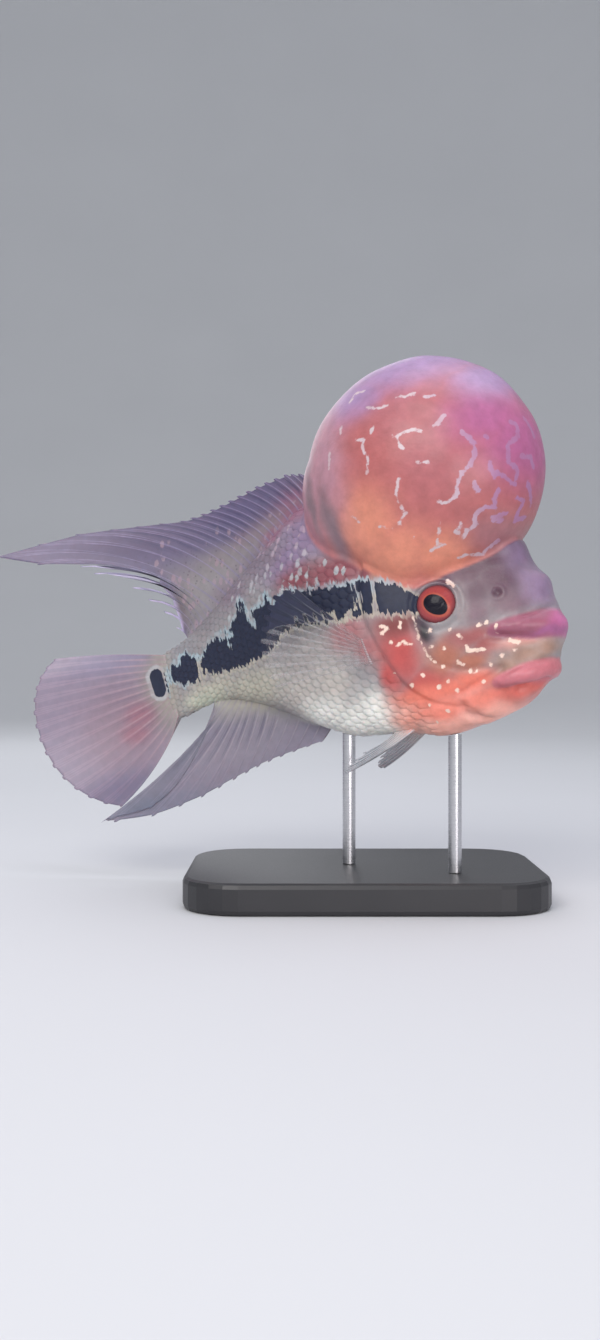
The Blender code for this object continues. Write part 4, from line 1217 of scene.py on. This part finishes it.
def minus(first, second):
    """First value less the second."""
    return calc("SUBTRACT", first, second)


def times(product, *factors):
    """Product of several values."""
    for factor in factors:
        product = calc("MULTIPLY", product, factor)
    return product


def scaled(value, factor, start):
    """A value times a factor, on top of a start."""
    return calc("MULTIPLY_ADD", value, factor, start)


def ramp(value, low, high):
    """Smooth step of a socket's value from 0 at low to 1 at high, which may be the smaller of the two."""
    made = add(value.id_data, "ShaderNodeMapRange", {"Value": value, "From Min": low, "From Max": high},
               interpolation_type="SMOOTHSTEP")
    return made.outputs["Result"]


def tint(share, under, over):
    """Mix of two colours."""
    return add(share.id_data, "ShaderNodeMix", {0: share, 6: under, 7: over}, data_type="RGBA").outputs[2]


def stored(tree, name, kind="Fac"):
    """Attribute of the mesh."""
    return add(tree, "ShaderNodeAttribute", attribute_name=name).outputs[kind]


def parts(place):
    """Three parts of a place."""
    return add(place.id_data, "ShaderNodeSeparateXYZ", {0: place}).outputs


def joined(first, second):
    """Place from two values."""
    return add(first.id_data, "ShaderNodeCombineXYZ", {0: first, 1: second}).outputs[0]


def stretched(place, factors):
    """Place times three factors, so that a pattern on it is longer where the factor is small."""
    return add(place.id_data, "ShaderNodeVectorMath", {0: place, 1: factors}, operation="MULTIPLY").outputs[0]


def noise(place, scale, detail=3.0, roughness=0.5):
    """Noise value at a place."""
    made = add(place.id_data, "ShaderNodeTexNoise",
               {"Vector": place, "Scale": scale, "Detail": detail, "Roughness": roughness})
    return made.outputs["Fac"]


def cells(place, scale, feature="F1"):
    """Distance and colour of Voronoi cells at a place."""
    made = add(place.id_data, "ShaderNodeTexVoronoi", {"Vector": place, "Scale": scale}, feature=feature)
    return made.outputs


def bumped(height, distance, strength):
    """Normal from a height, in metres of distance."""
    made = add(height.id_data, "ShaderNodeBump")
    feed(made, Height=height, Distance=distance, Strength=strength)
    return made.outputs[0]


def new_group(name, inputs, outputs):
    """Shader node group; returns the tree, what it is given and what it results in.

    A socket is a name and a kind, and an input may have a first value.
    """
    tree = bpy.data.node_groups.new(name, "ShaderNodeTree")
    for end, sockets in (("INPUT", inputs), ("OUTPUT", outputs)):
        for label, kind, *value in sockets:
            socket = tree.interface.new_socket(name=label, in_out=end, socket_type="NodeSocket" + kind)
            if value:
                socket.default_value = value[0]
    return tree, tree.nodes.new("NodeGroupInput").outputs, tree.nodes.new("NodeGroupOutput").inputs


def use(tree, group, **values):
    """Place a node group in a material with its own values; returns its outputs."""
    made = add(tree, "ShaderNodeGroup", node_tree=group)
    feed(made, **values)
    return made.outputs


def black_marks_group():
    """Black marks with toothed edges and a pale rim: colour in, colour and mask out.

    Noise stretched up and down makes the depth inside the marks ragged. Black is where it is over zero,
    and the rim is where it is a little under.
    """
    tree, given, result = new_group(
        "black_marks",
        (("Colour", "Color"), ("Place", "Vector"), ("Depth", "Float", 0.0), ("Teeth", "Float", 3.0),
         ("Rim colour", "Color")),
        (("Colour", "Color"), ("Black", "Float")))
    place = given["Place"]
    teeth = noise(stretched(place, (0.62, 0.1, 0.1)), 1.0, 2.5, 0.65)
    depth = plus(given["Depth"], times(minus(teeth, 0.5), given["Teeth"], 3.0))
    black = ramp(depth, -0.15, 0.25)
    patchy = scaled(ramp(noise(place, 0.2, 2.0), 0.36, 0.6), 0.6, 0.4)
    rimmed = tint(times(ramp(depth, -2.2, -1.0), patchy, 0.9), given["Colour"], given["Rim colour"])
    ink = tint(noise(place, 0.5), INK, INK_SHEEN)
    plug(result["Colour"], tint(black, rimmed, ink))
    plug(result["Black"], black)
    return tree


def pale_marks_group():
    """Pale winding marks and pearls, wavy at their edges and fainter here and there: colour in and out."""
    tree, given, result = new_group(
        "pale_marks", (("Colour", "Color"), ("Place", "Vector"), ("Depth", "Float", 0.0), ("Pale", "Color")),
        (("Colour", "Color"),))
    wavy = plus(given["Depth"], times(minus(noise(given["Place"], 0.5), 0.5), 2.6))
    faint = scaled(ramp(noise(given["Place"], 0.22, 1.0), 0.2, 0.55), 0.35, 0.65)
    plug(result["Colour"], tint(times(ramp(wavy, -0.25, 0.35), faint), given["Colour"], given["Pale"]))
    return tree


def mottle_group():
    """Blotchy change of a colour, from fine grain to patches: its lightness follows noise."""
    tree, given, result = new_group(
        "mottle",
        (("Colour", "Color"), ("Place", "Vector"), ("Amount", "Float", 0.2), ("Scale", "Float", 0.2)),
        (("Colour", "Color"),))
    patches = minus(noise(given["Place"], given["Scale"], 4.0, 0.6), 0.5)
    lightness = plus(times(patches, given["Amount"], 4.0), 1.0)
    made = add(tree, "ShaderNodeHueSaturation", {"Color": given["Colour"], "Value": lightness})
    plug(result["Colour"], made.outputs[0])
    return tree


def flesh_grain_group():
    """Height of the fine grain of wet skin: pores and small wrinkles."""
    tree, given, result = new_group(
        "flesh_grain", (("Place", "Vector"), ("Pores", "Float", 0.5), ("Wrinkles", "Float", 0.5)),
        (("Height", "Float"),))
    pores = cells(given["Place"], 1.1, "SMOOTH_F1")["Distance"]
    wrinkles = noise(stretched(given["Place"], (0.7, 0.7, 0.35)), 0.6, 4.0, 0.55)
    plug(result["Height"], plus(times(pores, given["Pores"]), times(wrinkles, given["Wrinkles"])))
    return tree


def pale_flecks_group():
    """Pale flecks that lean back, like brush dabs, some left out: place in, mask out."""
    tree, given, result = new_group("pale_flecks", (("Place", "Vector"), ("Amount", "Float", 0.5)),
                                    (("Mask", "Float"),))
    at = parts(given["Place"])
    across = plus(times(at[0], 0.95), times(at[2], 0.30))
    along = minus(times(at[2], 0.95), times(at[0], 0.30))
    dabs = cells(joined(times(across, 0.33), times(along, 0.19)), 1.0)
    chance = add(tree, "ShaderNodeSeparateColor", {0: dabs["Color"]}).outputs[0]
    chosen = ramp(plus(given["Amount"], chance), 0.95, 1.05)
    ragged = plus(dabs["Distance"], times(noise(given["Place"], 0.8, 2.0), 0.3))
    plug(result["Mask"], times(ramp(ragged, 0.56, 0.40), chosen))
    return tree


BLACK_MARKS = black_marks_group()
PALE_MARKS = pale_marks_group()
MOTTLE = mottle_group()
FLESH_GRAIN = flesh_grain_group()
PALE_FLECKS = pale_flecks_group()


# Materials
def new_material(name):
    """Empty material with one Principled shader; returns it, its tree and the shader."""
    material = bpy.data.materials.new(name)
    material.use_nodes = True
    return material, material.node_tree, material.node_tree.nodes["Principled BSDF"]


def rim_colour(at):
    """Colour of the rim round the black marks: icy above and at the tail, cream along the lower edge."""
    return tint(times(ramp(at[0], 172.0, 160.0), ramp(at[2], 32.0, 28.0)), ICE, CREAM)


def mottled_ground(tree, place, amount, scale):
    """The piece's ground colour, mottled."""
    ground = stored(tree, "ground", "Color")
    return use(tree, MOTTLE, Colour=ground, Place=place, Amount=amount, Scale=scale)["Colour"]


def skin_material():
    """Naked skin of head and hump and the ground under the scales: pale marks, then black ones over them."""
    material, tree, shader = new_material("fish_skin")
    place = stored(tree, "lie", "Vector")
    at = parts(place)
    pale = tint(ramp(at[0], 30.0, 6.0), HUMP_MARK, HUMP_FRONT_MARK)
    pale = tint(ramp(at[2], 32.0, 22.0), pale, PEARL)
    colour = use(tree, PALE_MARKS, Colour=mottled_ground(tree, place, 0.14, 0.22), Place=place,
                 Depth=stored(tree, "pale"), Pale=pale)["Colour"]
    marked = use(tree, BLACK_MARKS, Colour=colour, Place=place, Depth=stored(tree, "black"),
                 Rim_colour=rim_colour(at))
    grain = use(tree, FLESH_GRAIN, Place=place)["Height"]
    rough = scaled(marked["Black"], 0.3, scaled(noise(place, 0.4), 0.25, 0.28))
    feed(shader, Base_Color=marked["Colour"], Roughness=rough, Normal=bumped(grain, 0.0002, 0.5), **WET_SKIN)
    return material


def scale_material():
    """Scales: the skin's colours with a pearly fleck on some, painted shade along their rims and fine rings of
    growth.
    """
    material, tree, shader = new_material("fish_scales")
    place = stored(tree, "lie", "Vector")
    at = parts(place)
    tile = parts(stored(tree, "tile", "Vector"))
    marked = use(tree, BLACK_MARKS, Colour=mottled_ground(tree, place, 0.16, 0.3), Place=place,
                 Depth=stored(tree, "black"), Rim_colour=rim_colour(at))
    on_back = times(ramp(at[2], 30.0, 42.0), ramp(at[0], 160.0, 90.0), 0.85)
    fleck = use(tree, PALE_FLECKS, Place=place, Amount=on_back)["Mask"]
    dab = tint(ramp(at[2], 44.0, 66.0), FLANK_FLECK, BACK_FLECK)
    flecked = tint(times(fleck, minus(1.0, marked["Black"]), 0.85), marked["Colour"], dab)
    # Painted shade: each scale's rim, where it dips into the skin, is darkened, more so higher up the side
    edge = calc("MAXIMUM", ramp(tile[0], 0.86, 0.98), ramp(calc("ABSOLUTE", tile[1]), 0.86, 0.98))
    edge = times(edge, scaled(ramp(at[2], 5.0, 40.0), 0.12, 0.04))
    rough = scaled(marked["Black"], 0.25, scaled(noise(place, 0.5), 0.25, 0.3))
    rings = calc("SINE", times(tile[0], 60.0))
    feed(shader, Base_Color=tint(edge, flecked, SCALE_RIM_SHADE), Roughness=rough,
         Normal=bumped(rings, 0.00002, 0.4), **WET_SKIN)
    return material


def fin_material(name, ray, ray_fade, streak, streak_rays, streak_start, clearness, ray_solid=0.9, flecks=0.0,
                 root_solid=0.25):
    """Fin: its ground colour, pale rays with joints that fade outwards, dark streaks behind them, thin web.

    The streaks lie between the first and the last of streak_rays, from streak_start outwards. Alpha is 1
    on the rays and at the root, and falls by the clearness in between.
    """
    material, tree, shader = new_material(name)
    place = stored(tree, "lie", "Vector")
    fan_place = stored(tree, "fan", "Vector")
    fan = parts(fan_place)
    share = calc("FRACT", fan[0])
    wisps = noise(stretched(fan_place, (9.0, 2.2, 0.0)), 1.0, 3.0, 0.6)
    first, last = streak_rays
    dark = times(ramp(share, 0.08, 0.25), ramp(share, 0.70, 0.40), ramp(wisps, 0.35, 0.6), streak,
                 ramp(fan[1], streak_start, streak_start + 0.25), ramp(fan[0], first - 2.0, first),
                 ramp(fan[0], last + 3.0, last))
    if streak_start < 0.1:
        dark = times(dark, ramp(fan[1], 0.7, 0.35))
    colour = tint(dark, stored(tree, "ground", "Color"), FIN_STREAK)
    if flecks:
        dabs = use(tree, PALE_FLECKS, Place=place, Amount=times(ramp(fan[1], 0.6, 0.1), flecks))["Mask"]
        colour = tint(times(dabs, 0.7), colour, FIN_FLECK)
        spots = ramp(cells(place, 0.42)["Distance"], 0.24, 0.12)
        at_rear = times(ramp(fan[0], 9.0, 14.0), ramp(fan[1], 0.6, 0.3))
        colour = tint(times(spots, at_rear, 0.5), colour, FIN_SPOT)
    joints = scaled(calc("SINE", times(fan[1], 150.0)), 0.12, 0.7)
    fade = scaled(ramp(fan[1], ray_fade, ray_fade + 0.35), -0.8, 1.0)
    colour = tint(times(fan[2], joints, fade), colour, ray)
    colour = use(tree, MOTTLE, Colour=colour, Place=place, Amount=0.10, Scale=0.35)["Colour"]
    marked = use(tree, BLACK_MARKS, Colour=colour, Place=place, Depth=stored(tree, "black"), Teeth=0.5,
                 Rim_colour=FIN_RIM)
    solid = calc("MAXIMUM", times(fan[2], ray_solid), ramp(fan[1], root_solid, 0.0))
    solid = calc("MAXIMUM", solid, marked["Black"])
    feed(shader, Base_Color=marked["Colour"], Alpha=scaled(minus(1.0, solid), -clearness, 1.0),
         Roughness=0.42, Subsurface_Weight=0.3, Subsurface_Radius=(1.0, 0.6, 0.6), Subsurface_Scale=0.002,
         Coat_Weight=0.15, Coat_Roughness=0.25)
    return material


def eye_material():
    """Eye: a tilted oval pupil, a thin bright ring, a salmon-red iris with spokes, and a darker outer part.

    The pupil's edge is where the length of the tilted place, each part over its half width, is 1.
    """
    material, tree, shader = new_material("eye")
    iris = parts(stored(tree, "iris", "Vector"))
    lowered = plus(iris[1], PUPIL_DROP)
    cosine, sine = math.cos(PUPIL_TILT), math.sin(PUPIL_TILT)
    along = plus(times(iris[0], cosine), times(lowered, sine))
    across = minus(times(lowered, cosine), times(iris[0], sine))
    oval = length_of(calc("DIVIDE", along, PUPIL_HALVES[0]), calc("DIVIDE", across, PUPIL_HALVES[1]))
    from_middle = length_of(iris[0], iris[1])
    turn = calc("ARCTAN2", iris[1], iris[0])
    spokes = noise(joined(times(turn, 6.0), from_middle), 3.0, 4.0, 0.6)
    outer = tint(ramp(from_middle, 0.66, 0.84), tint(spokes, IRIS_DARK, IRIS_BRIGHT), IRIS_OUTER)
    ring = tint(ramp(oval, 1.30, 1.12), outer, PUPIL_RING)
    colour = tint(ramp(oval, 1.06, 0.98), ring, PUPIL)
    feed(shader, Base_Color=colour, Roughness=0.25, Normal=bumped(spokes, 0.0002, 0.4),
         Specular_IOR_Level=0.2, Coat_Weight=0.2, Coat_Roughness=0.04)
    return material


def length_of(first, second):
    """Length of a flat place: the root of the sum of its squares."""
    return calc("SQRT", plus(calc("POWER", first, 2.0), calc("POWER", second, 2.0)))


def plate_material():
    """Stand plate: satin black with a fine texture."""
    material, tree, shader = new_material("stand_plate_satin")
    place = add(tree, "ShaderNodeTexCoord").outputs["Object"]
    grain = noise(place, 2400.0)
    feed(shader, Base_Color=tint(noise(place, 40.0), *PLATE_BLACKS), Roughness=scaled(grain, 0.22, 0.3),
         Normal=bumped(grain, 0.00005, 0.35))
    return material


def rod_material():
    """Stand rods: brushed steel, its fine lines running round the rod."""
    material, tree, shader = new_material("stand_rod_steel")
    place = add(tree, "ShaderNodeTexCoord").outputs["Object"]
    lines = noise(stretched(place, (60.0, 60.0, 4000.0)), 1.0)
    feed(shader, Base_Color=tint(lines, *ROD_GREYS), Roughness=scaled(lines, 0.18, 0.2), Metallic=1.0,
         Normal=bumped(lines, 0.00003, 0.3))
    return material


# Put the object together
def dress():
    """Build every piece and give it its material."""
    build_skin().data.materials.append(skin_material())
    scaly = scale_material()
    for side, word in SIDES:
        build_scales(side, word).data.materials.append(scaly)
    fins = {name: fin_material(name, **finish) for name, finish in FIN_FINISHES.items()}
    dorsal_fin().data.materials.append(fins["fin_lilac"])
    anal_fin().data.materials.append(fins["fin_grey"])
    caudal_fin().data.materials.append(fins["fin_pink"])
    eyes = eye_material()
    for side, word in SIDES:
        pectoral_fin(side, word).data.materials.append(fins["fin_clear"])
        pelvic_fin(side, word).data.materials.append(fins["fin_white"])
        build_eye(side, word).data.materials.append(eyes)
    steel = rod_material()
    finishes = {"stand_base": plate_material(), "stand_rod_front": steel, "stand_rod_rear": steel}
    for name, material in finishes.items():
        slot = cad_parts[name].material_slots[0]
        slot.link = "OBJECT"
        slot.material = material


def stage():
    """Pale floor that rises in a quarter round to a pale wall far off, soft lamps and a pale sky."""
    rise = np.linspace(0.05, np.pi / 2, 24)
    rings = np.concatenate([np.linspace(0.001, FLOOR_REACH, 20), FLOOR_REACH + WALL_REACH * np.sin(rise)])
    heights = np.concatenate([np.zeros(20), WALL_REACH * (1 - np.cos(rise))])
    around = np.linspace(0, 2 * np.pi, 96, endpoint=False)
    points = np.stack([rings[:, None] * np.cos(around), rings[:, None] * np.sin(around),
                       np.broadcast_to(heights[:, None], (len(rings), 96))], axis=-1).reshape(-1, 3)
    floor = plain_object("pale_floor", points, grid_faces(len(rings), 96, around=True))
    floor.data.shade_smooth()
    material, tree, shader = new_material("pale_paper")
    place = add(tree, "ShaderNodeTexCoord").outputs["Object"]
    feed(shader, Base_Color=tint(noise(place, 3.0, 2.0), *FLOOR_GREYS), Roughness=0.85)
    floor.data.materials.append(material)
    world = bpy.data.worlds.new("pale_sky")
    world.use_nodes = True
    feed(world.node_tree.nodes["Background"], Color=SKY_COLOUR, Strength=SKY_STRENGTH)
    bpy.context.scene.world = world
    bpy.context.scene.view_settings.view_transform = "Standard"
    for name, place, size, power, colour in LAMPS:
        lamp(name, place, size, power, colour)


def lamp(name, place, size, power, colour):
    """Square soft lamp that looks at the middle of the object."""
    data = bpy.data.lights.new(name, "AREA")
    data.size = size
    data.energy = power
    data.color = colour
    thing = bpy.data.objects.new(name, data)
    bpy.context.scene.collection.objects.link(thing)
    thing.location = place
    aim = solid_bounds[0].lerp(solid_bounds[1], 0.5) - thing.location
    thing.rotation_euler = aim.to_track_quat("-Z", "Y").to_euler()


def camera():
    """Camera level with the fish, half a metre in front of the snout's depth, as in the photograph."""
    data = bpy.data.cameras.new("camera")
    data.lens = 36
    data.sensor_width = 36
    thing = bpy.data.objects.new("camera", data)
    bpy.context.scene.collection.objects.link(thing)
    thing.location = CAMERA_PLACE
    thing.rotation_euler = (math.pi / 2, 0, 0)
    bpy.context.scene.camera = thing


dress()
stage()
camera()
